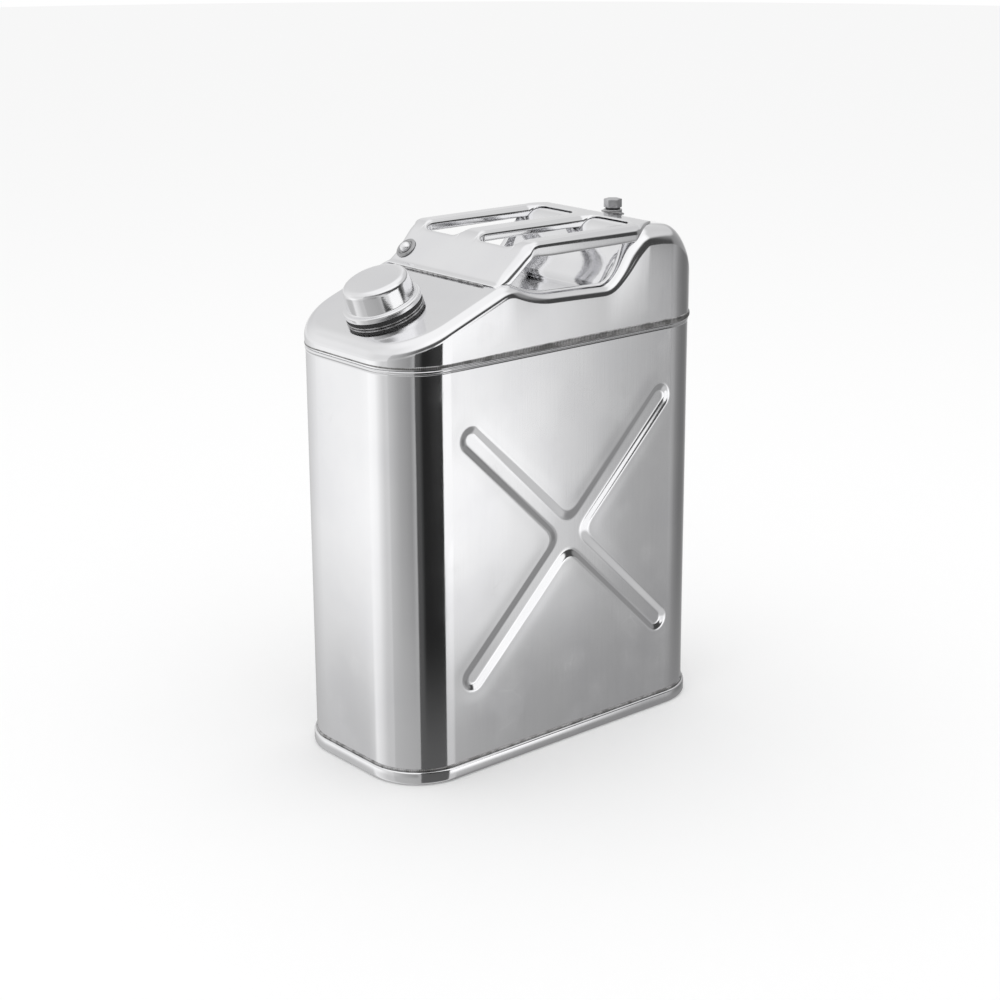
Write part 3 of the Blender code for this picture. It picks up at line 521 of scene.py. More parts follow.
# Turns a piece's modifiers into its mesh
def settle(piece, sharpAngle):
    bpy.context.view_layer.update()
    evaluated = piece.evaluated_get(bpy.context.evaluated_depsgraph_get())
    mesh = bpy.data.meshes.new_from_object(evaluated)
    piece.modifiers.clear()
    old = piece.data
    piece.data = mesh
    bpy.data.meshes.remove(old)
    mesh.name = piece.name
    shadeByAngle(piece, sharpAngle)


def thicken(piece, sheet, sharpAngle):
    solidify = piece.modifiers.new("sheet", "SOLIDIFY")
    solidify.thickness = sheet
    solidify.offset = -1
    solidify.use_even_offset = True
    settle(piece, sharpAngle)


def turnProfile(name, profile, material, axis, steps=96, closed=False, sharpAngle=35):
    builder = bmesh.new()
    points = [builder.verts.new((radius, 0, height)) for radius, height in profile]
    edges = [builder.edges.new(pair) for pair in zip(points, points[1:])]
    if closed:
        edges.append(builder.edges.new((points[-1], points[0])))
    bmesh.ops.spin(builder, geom=points + edges, axis=(0, 0, 1), cent=(0, 0, 0), steps=steps,
                   angle=math.tau, use_merge=True)
    bmesh.ops.remove_doubles(builder, verts=builder.verts, dist=mergeReach)
    bmesh.ops.transform(builder, matrix=axis, verts=builder.verts)
    return makePiece(name, builder, material, sharpAngle)


# A profile with its inner corners rounded; each corner is (radius, height) or has its own rounding
def rounded(corners, radius, steps=4):
    points = [corners[0][:2]]
    for before, here, after in zip(corners, corners[1:], corners[2:]):
        reach = here[2] if len(here) > 2 else radius
        spot = Vector(here[:2])
        back = Vector(before[:2]) - spot
        on = Vector(after[:2]) - spot
        reach = min(reach, back.length / 2, on.length / 2)
        start = spot + back.normalized() * reach
        end = spot + on.normalized() * reach
        for step in range(steps + 1):
            share = step / steps
            rest = 1 - share
            point = start * rest ** 2 + spot * 2 * share * rest + end * share ** 2
            points.append((point.x, point.y))
    points.append(corners[-1][:2])
    return points


def drill(piece, radius, reach, axis, sharpAngle):
    profile = ((0, -reach), (radius, -reach), (radius, reach), (0, reach))
    tool = turnProfile("drill", profile, sheetSteel, axis)
    boolean = piece.modifiers.new("hole", "BOOLEAN")
    boolean.operation = "DIFFERENCE"
    boolean.solver = "EXACT"
    boolean.object = tool
    settle(piece, sharpAngle)
    bpy.data.objects.remove(tool, do_unlink=True)


def place(piece, body, node):
    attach(piece, body)
    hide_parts(node)


# Plan of the can: a rectangle with round corners, walked counterclockwise from above. A station is
# the point that it is measured from and the outward direction.
plan = {"length": 0.345, "width": 0.165, "corner": 0.048, "cornerSteps": 16}
coreX = plan["length"] / 2 - plan["corner"]
coreY = plan["width"] / 2 - plan["corner"]
planSides = [(turn, x, y, Vector((x * coreX, y * coreY)))
             for turn, (x, y) in enumerate(((1, 1), (-1, 1), (-1, -1), (1, -1)))]
flatSide = 0.9999  # a station whose outward direction has a smaller part than this is on a corner


def planStations(longStep=None, shortStep=None):
    longStops = spread(-coreX, coreX, longStep)[1:] if longStep else []
    shortStops = spread(-coreY, coreY, shortStep)[1:] if shortStep else []
    stations = []
    for turn, sideX, sideY, core in planSides:
        for step in range(plan["cornerSteps"] + 1):
            stations.append((core, unit(quarter * (turn + step / plan["cornerSteps"]))))
        if turn % 2 == 0:
            flat = [(Vector((stop, core.y)), Vector((0, sideY))) for stop in longStops]
        else:
            flat = [(Vector((core.x, stop)), Vector((sideX, 0))) for stop in shortStops]
        stations += flat[::-1] if turn < 2 else flat
    return stations


def planPoint(station, inset):
    core, outward = station
    return core + outward * (plan["corner"] - inset)


def addRing(builder, stations, inset, height):
    return [builder.verts.new((*planPoint(station, inset), height)) for station in stations]


# Body sheet with its pressed crosses and a slight crown on every side. lipForm is the fine groove
# and the rounded ridge that the seam stands on, each a rise from the lip and an inset.
body = {
    "sheet": 0.001, "foot": 0.0018, "top": 0.3632, "lip": 0.3548, "neckIn": 0.3582,
    "neckInset": 0.0006, "crossStep": 0.0014, "plainStep": 0.009,
    "lipForm": (
        (-0.0060, 0), (-0.0035, 0), (-0.0022, 0), (-0.0015, 0), (-0.0011, 0), (-0.0009, 0),
        (-0.0005, 0.00021), (0, 0.00035), (0.0004, 0.000175), (0.0008, -0.00025),
        (0.0014, -0.0005), (0.0020, -0.0005), (0.0026, -0.0003), (0.0030, 0),
    ),
    "crown": 0.0010, "endCrown": 0.0006, "crownRun": 0.13,
    "waveDepth": 0.00018, "waveSize": 9.0, "rippleDepth": 0.00003, "rippleSize": 32.0,
    "waveStretch": 0.6, "waveRise": 3,
}
cross = {
    "centreX": 0.004, "centreZ": 0.190, "reachX": 0.107, "reachZ": 0.104, "halfWidth": 0.0118,
    "depth": 0.0018, "slope": 0.0064, "join": 0.015, "drawIn": 0.00010, "drawWidth": 0.008,
}


def crossDepth(x, z):
    across, up = x - cross["centreX"], z - cross["centreZ"]
    distances = []
    for tilt in (1, -1):
        end = Vector((cross["reachX"], tilt * cross["reachZ"]))
        along = max(-1, min(1, (across * end.x + up * end.y) / end.length_squared))
        distances.append(math.hypot(across - along * end.x, up - along * end.y))
    join = cross["join"]
    joined = max(join - abs(distances[0] - distances[1]), 0) / join
    near = min(distances) - joined * joined * join / 4
    edge = cross["halfWidth"]
    inside = smoothStep(edge, edge - cross["slope"], near)
    around = math.exp(-(max(near - edge, 0) / cross["drawWidth"]) ** 2)
    return cross["depth"] * inside + cross["drawIn"] * around * (1 - inside)


def sheetWave(x, y, z):
    spot = Vector((x, y, z * body["waveStretch"]))
    wave = body["waveDepth"] * noise.noise(spot * body["waveSize"])
    return wave + body["rippleDepth"] * noise.noise(spot * body["rippleSize"])


def bodyPoint(station, inset, height):
    core, outward = station
    upright = smoothStep(0, body["crownRun"], height)
    upright *= smoothStep(body["lip"], body["lip"] - body["crownRun"], height)
    bulge = sheetWave(*planPoint(station, inset), height) * min(1, upright * body["waveRise"])
    if abs(outward.y) > flatSide:
        bulge += body["crown"] * upright * (1 - (core.x / coreX) ** 2)
        bulge -= crossDepth(core.x, height)
    elif abs(outward.x) > flatSide:
        bulge += body["endCrown"] * upright * (1 - (core.y / coreY) ** 2)
    return (*planPoint(station, inset - bulge), height)


def makeBodySheet():
    builder = bmesh.new()
    stations = planStations(body["crossStep"], body["plainStep"])
    lip, lipForm, neckInset = body["lip"], body["lipForm"], body["neckInset"]
    reach = cross["reachZ"] + 2 * cross["halfWidth"]
    crossFoot, crossHead = cross["centreZ"] - reach, cross["centreZ"] + reach
    heights = spread(body["foot"], crossFoot, body["plainStep"])
    heights += spread(crossFoot, crossHead, body["crossStep"])
    heights += spread(crossHead, lip + lipForm[0][0], body["plainStep"])
    levels = [(height, 0) for height in heights]
    levels += [(lip + rise, inset) for rise, inset in lipForm]
    levels += [(body["neckIn"], neckInset), (body["top"], neckInset)]
    skin(builder, [[builder.verts.new(bodyPoint(station, inset, height)) for station in stations]
                   for height, inset in levels])
    sheet = makePiece("bodySheet", builder, sheetSteel, softBend, openSheet=True)
    thicken(sheet, body["sheet"], softBend)
    return sheet


place(makeBodySheet(), "can", "body_wall")
print("body sheet pressed")


# Foot rim: a rolled hoop round the base
rim = {
    "height": 0.0118, "proud": 0.0026, "inner": 0.0036, "ledge": 0.0015, "edge": 0.0016,
    "gap": 0.0003,
}


def makeFootRim():
    edge, proud, top = rim["edge"], rim["proud"], rim["height"]
    profile = [(-rim["gap"], top)]
    for step in range(5):
        angle = quarter * step / 4
        profile.append((edge - proud - edge * math.sin(angle), top - edge + edge * math.cos(angle)))
    for step in range(6):
        angle = quarter * step / 5
        profile.append((2 * edge * (1 - math.cos(angle)) - proud, 2 * edge * (1 - math.sin(angle))))
    profile += [(rim["inner"], 0), (rim["inner"], rim["ledge"]), (-rim["gap"], rim["ledge"])]
    builder = bmesh.new()
    stations = planStations()
    rings = [addRing(builder, stations, inset, height) for inset, height in profile]
    skin(builder, rings, looped=True)
    return makePiece("footRim", builder, sheetSteel, sharpAngle=40)


place(makeFootRim(), "can", "bottom_rim")


# Weld beads that run round the plan in fine overlapping ripples. The shares are a bead's girth at
# the rear and at the front end.
ripples = {
    "sides": 10, "steps": 4, "start": 0.15, "uneven": 0.16, "unevenSize": 220,
    "rearFade": (0.4, 0.95), "frontFade": (-0.01, -0.13), "flatter": 0.55,
}
seamBead = {
    "height": 0.3605, "inset": -0.0006, "halfHeight": 0.0027, "halfDepth": 0.0011,
    "ripple": 0.0017, "swell": 0.60, "endShare": 0.5, "frontShare": 0.58,
}
baseBead = {
    "height": 0.0129, "inset": -0.0003, "halfHeight": 0.0010, "halfDepth": 0.0009,
    "ripple": 0.0016, "swell": 0.45, "endShare": 1, "frontShare": 1,
}


# Even steps round the plan outline, each a place and the outward direction
def walkPlan(inset, step):
    radius = plan["corner"] - inset
    places = []
    for turn, _, _, core in planSides:
        count = round(radius * quarter / step)
        for index in range(count):
            outward = unit(quarter * (turn + index / count))
            places.append((core + outward * radius, outward))
        length = 2 * (coreX if turn % 2 == 0 else coreY)
        count = round(length / step)
        outward = unit(quarter * (turn + 1))
        heading = Vector((-outward.y, outward.x))
        for index in range(count):
            places.append((core + outward * radius + heading * length * index / count, outward))
    return places


def makeRoundBead(name, bead):
    builder = bmesh.new()
    steps, sides, flatter = ripples["steps"], ripples["sides"], ripples["flatter"]
    rings = []
    for index, (point, outward) in enumerate(walkPlan(bead["inset"], bead["ripple"] / steps)):
        phase = between(ripples["start"], 1, index % steps / steps)
        swell = 1 - bead["swell"] * (1 - math.sin(math.pi * phase))
        unevenSpot = Vector((point.x, point.y, 0)) * ripples["unevenSize"]
        swell *= 1 + ripples["uneven"] * noise.noise(unevenSpot)
        girth = 1 - (1 - bead["endShare"]) * smoothStep(*ripples["rearFade"], -outward.x)
        girth *= 1 - (1 - bead["frontShare"]) * smoothStep(*ripples["frontFade"], point.x)
        ring = []
        for side in range(sides):
            angle = math.tau * side / sides
            out = bead["halfDepth"] * girth * swell * math.cos(angle)
            fullness = flatter + (1 - flatter) * swell if angle < math.pi else 1
            up = bead["halfHeight"] * girth * fullness * math.sin(angle)
            ring.append(builder.verts.new((*(point + outward * out), bead["height"] + up)))
        rings.append(ring)
    skin(builder, rings, looped=True)
    return makePiece(name, builder, weldSteel, sharpBend)


place(makeRoundBead("seamWeldBead", seamBead), "can", "seam_weld")
place(makeRoundBead("baseWeldBead", baseBead), "can", "base_weld")
print("rim and weld beads made")


# Top shell: sloping shoulder, ridge, finger trough, ramp and rear deck. Each point of profile is a
# place along the can, the rise above the seam and half the length of the blend there.
seam = 0.3593
shell = {
    "sheet": 0.001, "proud": 0.0007, "skirt": 0.0015,
    "profile": (
        (-0.1725, 0.0152, 0), (-0.060, 0.0585, 0.010), (-0.030, 0.0467, 0.016),
        (0.057, 0.0432, 0.013), (0.084, 0.0867, 0.013), (0.122, 0.0867, 0.020),
        (0.1725, 0.0727, 0),
    ),
    "ridge": -0.060, "ramp": (0.057, 0.084), "deckRise": 0.0867, "troughFront": (-0.046, -0.030),
    "sideFillet": 0.010, "rampFillet": 0.016, "rearFillet": 0.042,
    "troughDepth": 0.008, "lip": 0.0112, "bank": 0.010, "filletSteps": 12,
    "bandShares": (0.025, 0.07, 0.13, 0.2, 0.27, 0.34, 0.42, 0.5, 0.6, 0.7, 0.8, 0.9, 1.0),
    "longStep": 0.0026, "shortStep": 0.009,
}
rampFoot, rampHead = shell["ramp"]
shellHalf = plan["width"] / 2 + shell["proud"]


def profileHeight(along):
    points = shell["profile"]
    slopes = [(b[1] - a[1]) / (b[0] - a[0]) for a, b in zip(points, points[1:])]
    run = 0
    while run < len(slopes) - 1 and along > points[run + 1][0]:
        run += 1
    height = seam + points[run][1] + slopes[run] * (along - points[run][0])
    for corner in (run, run + 1):
        where, _, blend = points[corner]
        if blend and abs(along - where) < blend:
            change = slopes[corner] - slopes[corner - 1]
            height += change * (blend - abs(along - where)) ** 2 / (4 * blend)
    return height


def profileSlope(along):
    reach = shell["sideFillet"] * 4 / 5
    rise = profileHeight(along + reach) - profileHeight(along - reach)
    return math.atan(rise / (2 * reach))


def shellHeight(along, across):
    front = smoothStep(*shell["troughFront"], along)
    rear = smoothStep(rampHead, rampFoot, along)
    bank = smoothStep(shell["lip"], shell["lip"] + shell["bank"], shellHalf - abs(across))
    return profileHeight(along) - shell["troughDepth"] * front * rear * bank


def filletAt(along):
    return between(shell["sideFillet"], shell["rampFillet"], smoothStep(rampFoot, rampHead, along))


def edgeRadius(station):
    core, outward = station
    radius = filletAt(core.x)
    if core.x > coreX - mergeReach:
        radius += (shell["rearFillet"] - shell["rampFillet"]) * smoothStep(0, 1, abs(outward.x))
    return radius


def edgePoint(station, angle):
    core, _ = station
    radius = edgeRadius(station)
    point = planPoint(station, radius * (1 - math.cos(angle)) - shell["proud"])
    depth = radius * (1 - math.sin(angle))
    slope = profileSlope(point.x)
    lean = smoothStep(-coreX, shell["ridge"], core.x) * smoothStep(coreX, rampHead, core.x)
    straight = depth / math.cos(slope)
    drop = between(straight, depth * math.cos(slope), lean)
    return (point.x + depth * math.sin(slope) * lean, point.y, profileHeight(point.x) - drop)


def makeTopShell():
    builder = bmesh.new()
    stations = planStations(shell["longStep"], shell["shortStep"])
    proud, corner, steps = shell["proud"], plan["corner"], shell["filletSteps"]
    rings = [addRing(builder, stations, -proud, seam + rise) for rise in (0, shell["skirt"])]
    for step in range(steps + 1):
        rings.append([builder.verts.new(edgePoint(station, quarter * step / steps))
                      for station in stations])
    for share in shell["bandShares"]:
        ring = []
        for station in stations:
            point = planPoint(station, between(edgeRadius(station) - proud, corner, share))
            ring.append(builder.verts.new((*point, shellHeight(*point))))
        rings.append(ring)
    skin(builder, rings)
    columns = [*spread(-coreX, coreX, shell["longStep"]), coreX]
    rows = [*spread(-coreY, coreY, shell["shortStep"]), coreY]
    grid = [[builder.verts.new((x, y, shellHeight(x, y))) for x in columns] for y in rows]
    skin(builder, grid, openRings=True)
    top = makePiece("topShell", builder, sheetSteel, softBend, openSheet=True)
    thicken(top, shell["sheet"], softBend)
    return top


# The filler leans with the shoulder, by its rise over its run; the vent stands upright
filler = {"along": -0.1263, "lean": math.atan(0.0433 / 0.1125), "hole": 0.0233, "reach": 0.03}
ventSeat = {"along": 0.130, "lean": 0, "hole": 0.0086, "reach": 0.03}


def seatAxis(seat):
    spot = Vector((seat["along"], 0, profileHeight(seat["along"])))
    return Matrix.Translation(spot) @ Euler((0, -seat["lean"], 0)).to_matrix().to_4x4()


fillerAxis = seatAxis(filler)
ventAxis = seatAxis(ventSeat)
topShell = makeTopShell()
drill(topShell, filler["hole"], filler["reach"], fillerAxis, softBend)
drill(topShell, ventSeat["hole"], ventSeat["reach"], ventAxis, softBend)
place(topShell, "can", "top_shell")
print("top shell made")


# Handle plate: apron, three crowned bars with rolled and folded edges, and a tail on the deck
handle = {
    "sheet": 0.0015, "gap": 0.0003, "tailGap": 0.0006, "room": 0.0002,
    "footEnd": -0.070, "foot": -0.0655, "bend": -0.034, "bendRadius": 0.008,
    "bendFade": (-0.002, 0.002), "footHalf": 0.0735, "half": 0.079, "tailHalf": 0.066,
    "tailFade": (-0.012, 0.021), "tailEnd": 0.113, "barHalf": 0.0112, "barInner": 0.0605,
    "slotFront": -0.0375, "slotRear": 0.096, "slotEnd": 0.009, "slotReach": 0.001,
    "slotRolls": (0.0042, 0.0062), "slotFold": 0.0092, "slotFoldFade": (-0.0005, -0.006),
    "slotFoldShares": (0.12, 0.4, 0.48), "leastFold": 0.0003,
    "crown": 0.00015, "crownFront": (-0.004, 0.045), "crownRear": (-0.003, -0.045),
    "sideRolls": (0.0048, 0.0074), "apronRoll": 0.0092, "sideFold": 0.0136, "apronFold": 0.0125,
    "sideFoldRun": 0.03, "sideFoldShares": (0.15, 0.55, 1), "rollShare": 0.85,
}
bend, slotFront, slotRear = handle["bend"], handle["slotFront"], handle["slotRear"]
slotEnd, barHalf, barInner = handle["slotEnd"], handle["barHalf"], handle["barInner"]
plateHalf = handle["half"]
handleTop = seam + shell["deckRise"] + handle["tailGap"] + handle["sheet"]
handleFootTop = profileHeight(handle["foot"]) + handle["gap"] + handle["sheet"]
apronLean = math.atan((handleTop - handleFootTop) / (bend - handle["foot"]))


def handleBase(along):
    if along <= handle["foot"]:
        return profileHeight(along) + handle["gap"] + handle["sheet"]
    if along >= slotRear:
        return profileHeight(along) + handle["tailGap"] + handle["sheet"]
    over, radius = along - bend, handle["bendRadius"]
    rise = math.tan(apronLean)
    height = handleFootTop + rise * (along - handle["foot"]) if over < 0 else handleTop
    if abs(over) < radius:
        height -= rise * (radius - abs(over)) ** 2 / (4 * radius)
    return height


def handleHalfAt(along):
    width = between(handle["footHalf"], plateHalf, smoothStep(handle["footEnd"], bend, along))
    return between(width, handle["tailHalf"], fadeAt(slotRear, handle["tailFade"], along))


# How far a place on the plate is outside the rounded slot
def slotDistance(along, across):
    past = abs(along - (slotFront + slotRear) / 2) - (slotRear - slotFront) / 2 + slotEnd
    beside = abs(across - (barHalf + barInner) / 2) - (barInner - barHalf) / 2 + slotEnd
    return math.hypot(max(past, 0), max(beside, 0)) + min(max(past, beside), 0) - slotEnd


def rolledDrop(distance, radius):
    if radius <= 0 or distance >= radius:
        return 0
    share = 1 - max(distance, 0) / radius
    return radius * (1 - math.sqrt(1 - share * share))


def crownShare(across):
    if across <= barHalf:
        return 1 - (across / barHalf) ** 2
    if across < barInner:
        return 0
    middle = (barInner + plateHalf) / 2
    return 1 - ((across - middle) / (plateHalf - middle)) ** 2


def slotShift(across):
    inward = min(across - barHalf, barInner - across)
    if inward < 0:
        return slotEnd * max(0, 1 + inward / slotEnd) ** 2
    share = min(inward / slotEnd, 1)
    return slotEnd * (1 - math.sqrt(share * (2 - share)))


# Depth of the folded side, which stops on the top shell at both ends
def sideDepthAt(along):
    share = smoothStep(bend, slotFront + handle["sideFoldRun"], along)
    depth = between(handle["apronFold"], handle["sideFold"], share)
    fallen = rolledDrop(shellHalf - handleHalfAt(along), filletAt(along))
    if along > 0:
        fallen /= math.cos(profileSlope(along))
    return min(depth, handleBase(along) - profileHeight(along) + fallen - handle["room"])


def rollAt(along, radii):
    return between(*radii, smoothStep(slotFront, slotRear, along))


# Wide along the apron, tighter along the bars, with a crisp change at the bend
def sideRollAt(along):
    roll = rollAt(along, handle["sideRolls"])
    roll = between(handle["apronRoll"], roll, fadeAt(bend, handle["bendFade"], along))
    return roll if along < bend else min(roll, handle["rollShare"] * sideDepthAt(along))


# Depth of a slot's rolled and folded edge, which stops on the ramp; the slot's rear end is cut flat
def slotDepthAt(along):
    depth = min(handle["slotFold"], handleBase(along) - shellHeight(along, 0) - handle["room"])
    return depth * fadeAt(slotRear, handle["slotFoldFade"], along)


def slotRollAt(along):
    return min(rollAt(along, handle["slotRolls"]), handle["rollShare"] * slotDepthAt(along))


def slotFoldAt(along):
    return slotDepthAt(along) - slotRollAt(along)


def handlePoint(along, across):
    for end, way in ((slotFront, 1), (slotRear, -1)):
        past = abs(along - end) / (2 * slotEnd)
        if past < 1:
            along += way * slotShift(across) * (1 - past)
            break
    formed = fadeAt(slotFront, handle["crownFront"], along)
    formed *= fadeAt(slotRear, handle["crownRear"], along)
    height = handleBase(along) + handle["crown"] * formed * crownShare(across)
    height -= rolledDrop(slotDistance(along, across), slotRollAt(along))
    roll = sideRollAt(along)
    height -= rolledDrop(plateHalf - across, roll) * min(1, sideDepthAt(along) / roll)
    if across > barInner:
        share = (across - barInner) / (plateHalf - barInner)
        across = between(barInner, handleHalfAt(along), share)
    return Vector((along, across, height))


# Steps of the plate's rows and columns, closest where it is rolled
weave = {
    "foot": 0.0022, "apron": 0.0018, "beforeSlot": 0.007, "slotStart": (0.0006, 0.0012),
    "slotEnds": 0.0014, "bars": 0.003, "middle": (0, 0.002, 0.004), "slotMiddle": 0.012,
    "across": 0.004, "roll": (0.0, 0.0002, 0.0007, 0.0015, 0.0025, 0.0037, 0.005),
    "slot": (0.0004, 0.0011, 0.0022, 0.0036, 0.0053, 0.007, 0.009), "sideFlat": 0.0055,
    "sideAngles": (12, 24, 36, 48, 60, 70, 79, 90),
}


def handleRows():
    foot, tail, zone = handle["foot"], handle["tailEnd"], 2 * slotEnd
    first, second = (slotFront + step for step in weave["slotStart"])
    rows = spread(handle["footEnd"], foot, weave["foot"])
    rows += spread(foot, slotFront - weave["beforeSlot"], weave["apron"])
    rows += [slotFront - step for step in reversed(weave["roll"])] + [first]
    rows += spread(second, slotFront + zone, weave["slotEnds"])
    rows += spread(slotFront + zone, slotRear - zone, weave["bars"])
    rows += spread(slotRear - zone, slotRear, weave["slotEnds"])
    return rows + spread(slotRear, tail, weave["bars"]) + [tail]


def handleColumns():
    middle, roll = weave["slotMiddle"], handle["apronRoll"]
    columns = [*weave["middle"]] + [barHalf - step for step in reversed(weave["roll"])]
    columns += [barHalf + step for step in weave["slot"]]
    columns += spread(barHalf + middle, barInner - middle, weave["across"])
    columns += [barInner - step for step in (middle, *reversed(weave["slot"]))]
    columns += [barInner + step for step in (*weave["roll"], weave["sideFlat"])]
    angles = (math.radians(angle) for angle in weave["sideAngles"])
    return columns + [plateHalf - roll] + [plateHalf - roll + roll * math.sin(angle)
                                           for angle in angles]


# The plate's folded side below the last vertex of a row
def foldSide(builder, top, side):
    total, roll = sideDepthAt(top.x), sideRollAt(top.x)
    depth = total - min(roll, total)
    lip = handle["sheet"] * (1 - smoothStep(0, roll, total))
    return [builder.verts.new((top.x, top.y + side * lip * share, top.z - depth * share))
            for share in handle["sideFoldShares"]]


# Extends the slots' edges downward by a share of their fold
def foldSlots(builder, share):
    edges, reach = [], handle["slotReach"]
    for edge in builder.edges:
        middle = (edge.verts[0].co + edge.verts[1].co) / 2
        inside = barHalf / 2 < abs(middle.y) < barInner + reach and middle.x > slotFront - reach
        if edge.is_boundary and inside and slotFoldAt(middle.x) > handle["leastFold"]:
            edges.append(edge)
    folded = bmesh.ops.extrude_edge_only(builder, edges=edges)
    for item in folded["geom"]:
        if isinstance(item, bmesh.types.BMVert):
            item.co.z -= slotFoldAt(item.co.x) * share


def makeHandlePlate():
    builder = bmesh.new()
    rows, columns = handleRows(), handleColumns()
    across = [-value for value in reversed(columns)] + columns[1:]
    grid = []
    for along in rows:
        line = []
        for value in across:
            point = handlePoint(along, abs(value))
            line.append(builder.verts.new((point.x, math.copysign(point.y, value), point.z)))
        near = foldSide(builder, line[0].co, -1)
        far = foldSide(builder, line[-1].co, 1)
        grid.append(near[::-1] + line + far)
    sides = [None] * 3 + across + [None] * 3
    for row in range(len(rows) - 1):
        inRows = slotFront - hair < rows[row] < slotRear - hair
        for spot in range(len(sides) - 1):
            ends = [abs(side) for side in sides[spot:spot + 2] if side is not None]
            inSlot = len(ends) == 2 and barHalf - hair < min(ends) and max(ends) < barInner + hair
            if not (inRows and inSlot):
                builder.faces.new((grid[row][spot], grid[row + 1][spot], grid[row + 1][spot + 1],
                                   grid[row][spot + 1]))
    loose = [vertex for vertex in builder.verts if not vertex.link_faces]
    bmesh.ops.delete(builder, geom=loose, context="VERTS")
    bmesh.ops.remove_doubles(builder, verts=builder.verts, dist=mergeReach)
    for share in handle["slotFoldShares"]:
        foldSlots(builder, share)
    plate = makePiece("handlePlate", builder, sheetSteel, sharpBend, openSheet=True)
    thicken(plate, handle["sheet"], sharpBend)
    plate.modifiers.new("soften", "SUBSURF").levels = 1
    settle(plate, sharpBend)
    return plate


# Keeper on the apron's far side: a domed stud in a cupped washer, held by a nut behind
keeper = {
    "across": 0.0615, "up": 0.0135, "hole": 0.0033, "shank": 0.003, "head": 0.0052,
    "headRise": 0.0048, "cup": 0.0098, "cupRise": 0.0018, "cupRounding": 0.0006, "gap": 0.0003,
    "cupSeat": (1.42, 1.24), "nut": 0.004, "nutDepth": 0.0015, "reach": 0.01,
}
keeperPlace = Vector((handle["foot"] + keeper["up"] * math.cos(apronLean), keeper["across"],
                      handleFootTop + keeper["up"] * math.sin(apronLean)))
keeperAxis = Matrix.Translation(keeperPlace) @ Euler((0, -apronLean, 0)).to_matrix().to_4x4()
handlePlate = makeHandlePlate()
drill(handlePlate, keeper["hole"], keeper["reach"], keeperAxis, sharpBend)
place(handlePlate, "can", "handle_plate")


def makeKeeperCup():
    gap, rise, radius, head = (keeper[key] for key in ("gap", "cupRise", "cup", "head"))
    bottom = gap + rise / 4
    seatTop, seatFoot = (head * share for share in keeper["cupSeat"])
    corners = [(keeper["hole"], gap), (radius, gap), (radius, gap + rise / 3),
               (radius * 5 / 6, gap + rise), (seatTop, gap + rise), (seatFoot, bottom),
               (keeper["hole"], bottom)]
    profile = rounded(corners, keeper["cupRounding"])
    return turnProfile("keeperCup", profile, shadedCupSteel, keeperAxis, steps=48, closed=True)


def makeKeeperBall():
    foot = 2 * keeper["gap"] + keeper["cupRise"] / 4
    behind = -(handle["sheet"] + keeper["gap"])
    deepest = behind - keeper["nutDepth"]
    stud = [(keeper["head"] * math.cos(angle), foot + keeper["headRise"] * math.sin(angle))
            for angle in map(math.radians, range(90, -1, -10))]
    stud += [(keeper["shank"], foot), (keeper["shank"], behind), (keeper["nut"], behind),
             (keeper["nut"], deepest), (0, deepest)]
    return turnProfile("keeperBall", stud, litDomeSteel, keeperAxis, steps=48)


place(makeKeeperCup(), "can", "keeper_washer")
place(makeKeeperBall(), "can", "keeper_stud")


# Bead along the front edge of the handle's foot
footBead = {
    "halfLength": 0.060, "radius": 0.0009, "ripple": 0.0016, "sides": 8, "lift": 1.1, "swell": 0.18,
    "endGirth": 0.3, "endGrowth": 0.2,
}


def makeFootBead():
    builder = bmesh.new()
    half, thick, steps = footBead["halfLength"], footBead["radius"], ripples["steps"]
    along = handle["footEnd"] - thick - handle["room"]
    height = profileHeight(along) + thick * footBead["lift"]
    count = round(2 * half / footBead["ripple"] * steps)
    rings = []
    for index in range(count + 1):
        across = half * (2 * index / count - 1)
        fromEnd = min(index, count - index)
        fullness = min(1, footBead["endGirth"] + footBead["endGrowth"] * fromEnd)
        wave = math.sin(math.pi * (index % steps) / steps)
        radius = thick * fullness * (1 - footBead["swell"] + footBead["swell"] * wave)
        angles = (math.tau * side / footBead["sides"] for side in range(footBead["sides"]))
        rings.append([builder.verts.new((along + radius * math.cos(angle), across,
                                         height + radius * math.sin(angle))) for angle in angles])
    skin(builder, rings)
    builder.faces.new(rings[0])
    builder.faces.new(rings[-1][::-1])
    return makePiece("handleFootBead", builder, weldSteel, sharpBend)


place(makeFootBead(), "can", "handle_foot_weld")
print("handle plate made")


# Screw cap with its brim, and the gasket under it. A third number is a corner's own rounding.
cap = {
    "height": 0.030, "crown": 0.0007, "topRadius": 0.0278, "footRadius": 0.0295, "edge": 0.0068,
    "sheet": 0.0012, "brim": 0.0334, "brimTop": 0.0103, "brimFoot": 0.0058,
    "crownPoint": (0.6, 0.7), "crownRounding": 0.004, "brimCrease": 0.0012, "brimEdge": 0.0018,
}
gasket = {
    "inner": 0.0253, "foot": 0.0023, "shoulder": 0.0052, "top": 0.0081, "gap": 0.0006,
    "rounding": 0.0005,
    "lip": ((0.0316, 0.0014), (0.0327, 0.0012), (0.0331, 0.0028), (0.0325, 0.0051)),
}


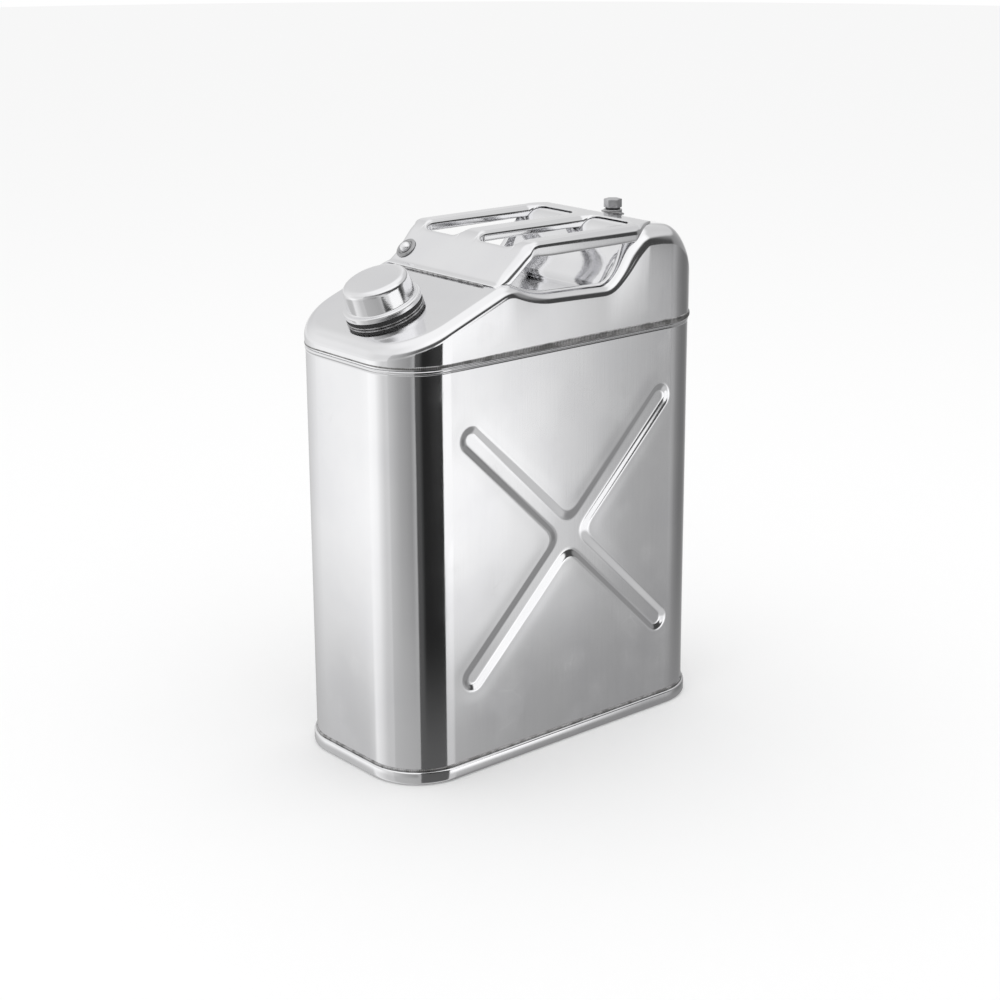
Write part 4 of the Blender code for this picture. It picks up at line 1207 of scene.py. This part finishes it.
def makeCap():
    sheet, height, crown, edge = (cap[key] for key in ("sheet", "height", "crown", "edge"))
    top, foot, brim = cap["topRadius"], cap["footRadius"], cap["brim"]
    brimTop, brimFoot = cap["brimTop"], cap["brimFoot"]
    across, rise = cap["crownPoint"]
    outside = [(0, height + crown), (top * across, height + crown * rise, cap["crownRounding"]),
               (top, height, edge), (foot, brimTop, cap["brimCrease"]),
               (brim, brimTop, cap["brimEdge"]), (brim, brimFoot)]
    inside = [(brim - sheet, brimFoot), (brim - sheet, brimTop - sheet),
              (foot - sheet, brimTop - sheet), (top - sheet, height - edge),
              (top - edge, height - sheet), (0, height - sheet)]
    profile = rounded(outside, radius=0, steps=7) + inside
    return turnProfile("capKnob", profile, turnedSteel, fillerAxis, steps=128)


def makeGasket():
    inner, foot, lip = gasket["inner"], gasket["foot"], gasket["lip"]
    brimInner = cap["brim"] - cap["sheet"] - gasket["gap"]
    corners = [(inner, foot), (lip[0][0], foot), *lip, (brimInner, gasket["shoulder"]),
               (brimInner, gasket["top"]), (inner, gasket["top"])]
    profile = rounded(corners, gasket["rounding"])
    return turnProfile("capGasket", profile, sealRubber, fillerAxis, closed=True)


place(makeCap(), "cap", "cap_shell")
place(makeGasket(), "cap_seal", "cap_gasket")
print("cap made")


# Vent: boss and hexagon screw on the rear deck; cornerShare is how much of a side a corner takes
vent = {
    "hole": 0.0047, "boss": 0.0083, "bossRise": 0.0046, "bossDepth": 0.006, "bossEdge": 0.0007,
    "bossRounding": 0.0003, "washer": 0.001, "gap": 0.0003, "headRise": 0.0078,
    "headEdge": 0.0004, "flats": 0.0142, "chamfer": 0.0009, "shank": 0.0042,
    "turn": math.radians(18), "cornerShare": 0.06, "cornerCut": 0.00008,
}


def makeVentBoss():
    hole, boss, rise, depth = (vent[key] for key in ("hole", "boss", "bossRise", "bossDepth"))
    corners = [(hole, -depth), (boss, -depth), (boss, rise, vent["bossEdge"]), (hole, rise)]
    profile = rounded(corners, vent["bossRounding"])
    return turnProfile("ventCollar", profile, fittingSteel, ventAxis, steps=64, closed=True)


def makeVentScrew():
    foot = vent["bossRise"] + vent["washer"] + 2 * vent["gap"]
    top, edge, chamfer = foot + vent["headRise"], vent["headEdge"], vent["chamfer"]
    sixth, cornerShare = math.radians(60), vent["cornerShare"]
    flat = math.cos(sixth / 2)
    reach = vent["flats"] / 2 / flat
    builder = bmesh.new()
    rings = []
    for inset, height in ((edge, foot), (0, foot + edge), (0, top - chamfer),
                          (chamfer * 0.3, top - chamfer * 0.3), (chamfer * 1.6, top)):
        ring = []
        for corner in range(6):
            for share in (-cornerShare, 0, cornerShare):
                size = (reach - inset) * flat / math.cos(sixth / 2 - abs(sixth * share))
                size -= 0 if share else vent["cornerCut"]
                spot = unit(vent["turn"] + sixth * (corner + share)) * size
                ring.append(builder.verts.new((*spot, height)))
        rings.append(ring)
    skin(builder, rings)
    start = vent["turn"] - sixth * cornerShare
    shank = [builder.verts.new((*(unit(start + math.tau * index / 18) * vent["shank"]), foot))
             for index in range(18)]
    deep = [builder.verts.new((*vertex.co.xy, -vent["bossDepth"] / 2)) for vertex in shank]
    skin(builder, [shank, rings[0]])
    skin(builder, [deep, shank])
    builder.faces.new(rings[-1])
    builder.faces.new(deep[::-1])
    bmesh.ops.transform(builder, matrix=ventAxis, verts=builder.verts)
    return makePiece("ventScrew", builder, fittingSteel, sharpAngle=25)


place(makeVentBoss(), "can", "vent_boss")
place(makeVentScrew(), "vent_screw", "vent_screw")
print("vent made")


# CAD pieces that keep their shape and take the better finishes
carried = {
    "base_pan": sheetSteel, "filler_neck": turnedSteel, "pressure_washer": turnedSteel,
    "neck_weld": weldSteel, "vent_weld": weldSteel, "cap_thread_insert": fittingSteel,
    "vent_washer": sealRubber,
}
for nodeName, finish in carried.items():
    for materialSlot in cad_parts[nodeName].material_slots:
        materialSlot.material = finish
print("carried pieces finished")


# Pale floor, which the steel doesn't mirror
def makeFloor():
    builder = bmesh.new()
    bmesh.ops.create_circle(builder, cap_ends=True, segments=96, radius=9)
    material, tree = startMaterial("paleFloor")
    setShader(tree, {"Base Color": grey(0.93), "Roughness": 0.9, "Specular IOR Level": 0.0})
    floor = makePiece("paleFloor", builder, material, openSheet=True)
    floor.visible_glossy = False


makeFloor()
print("floor laid")
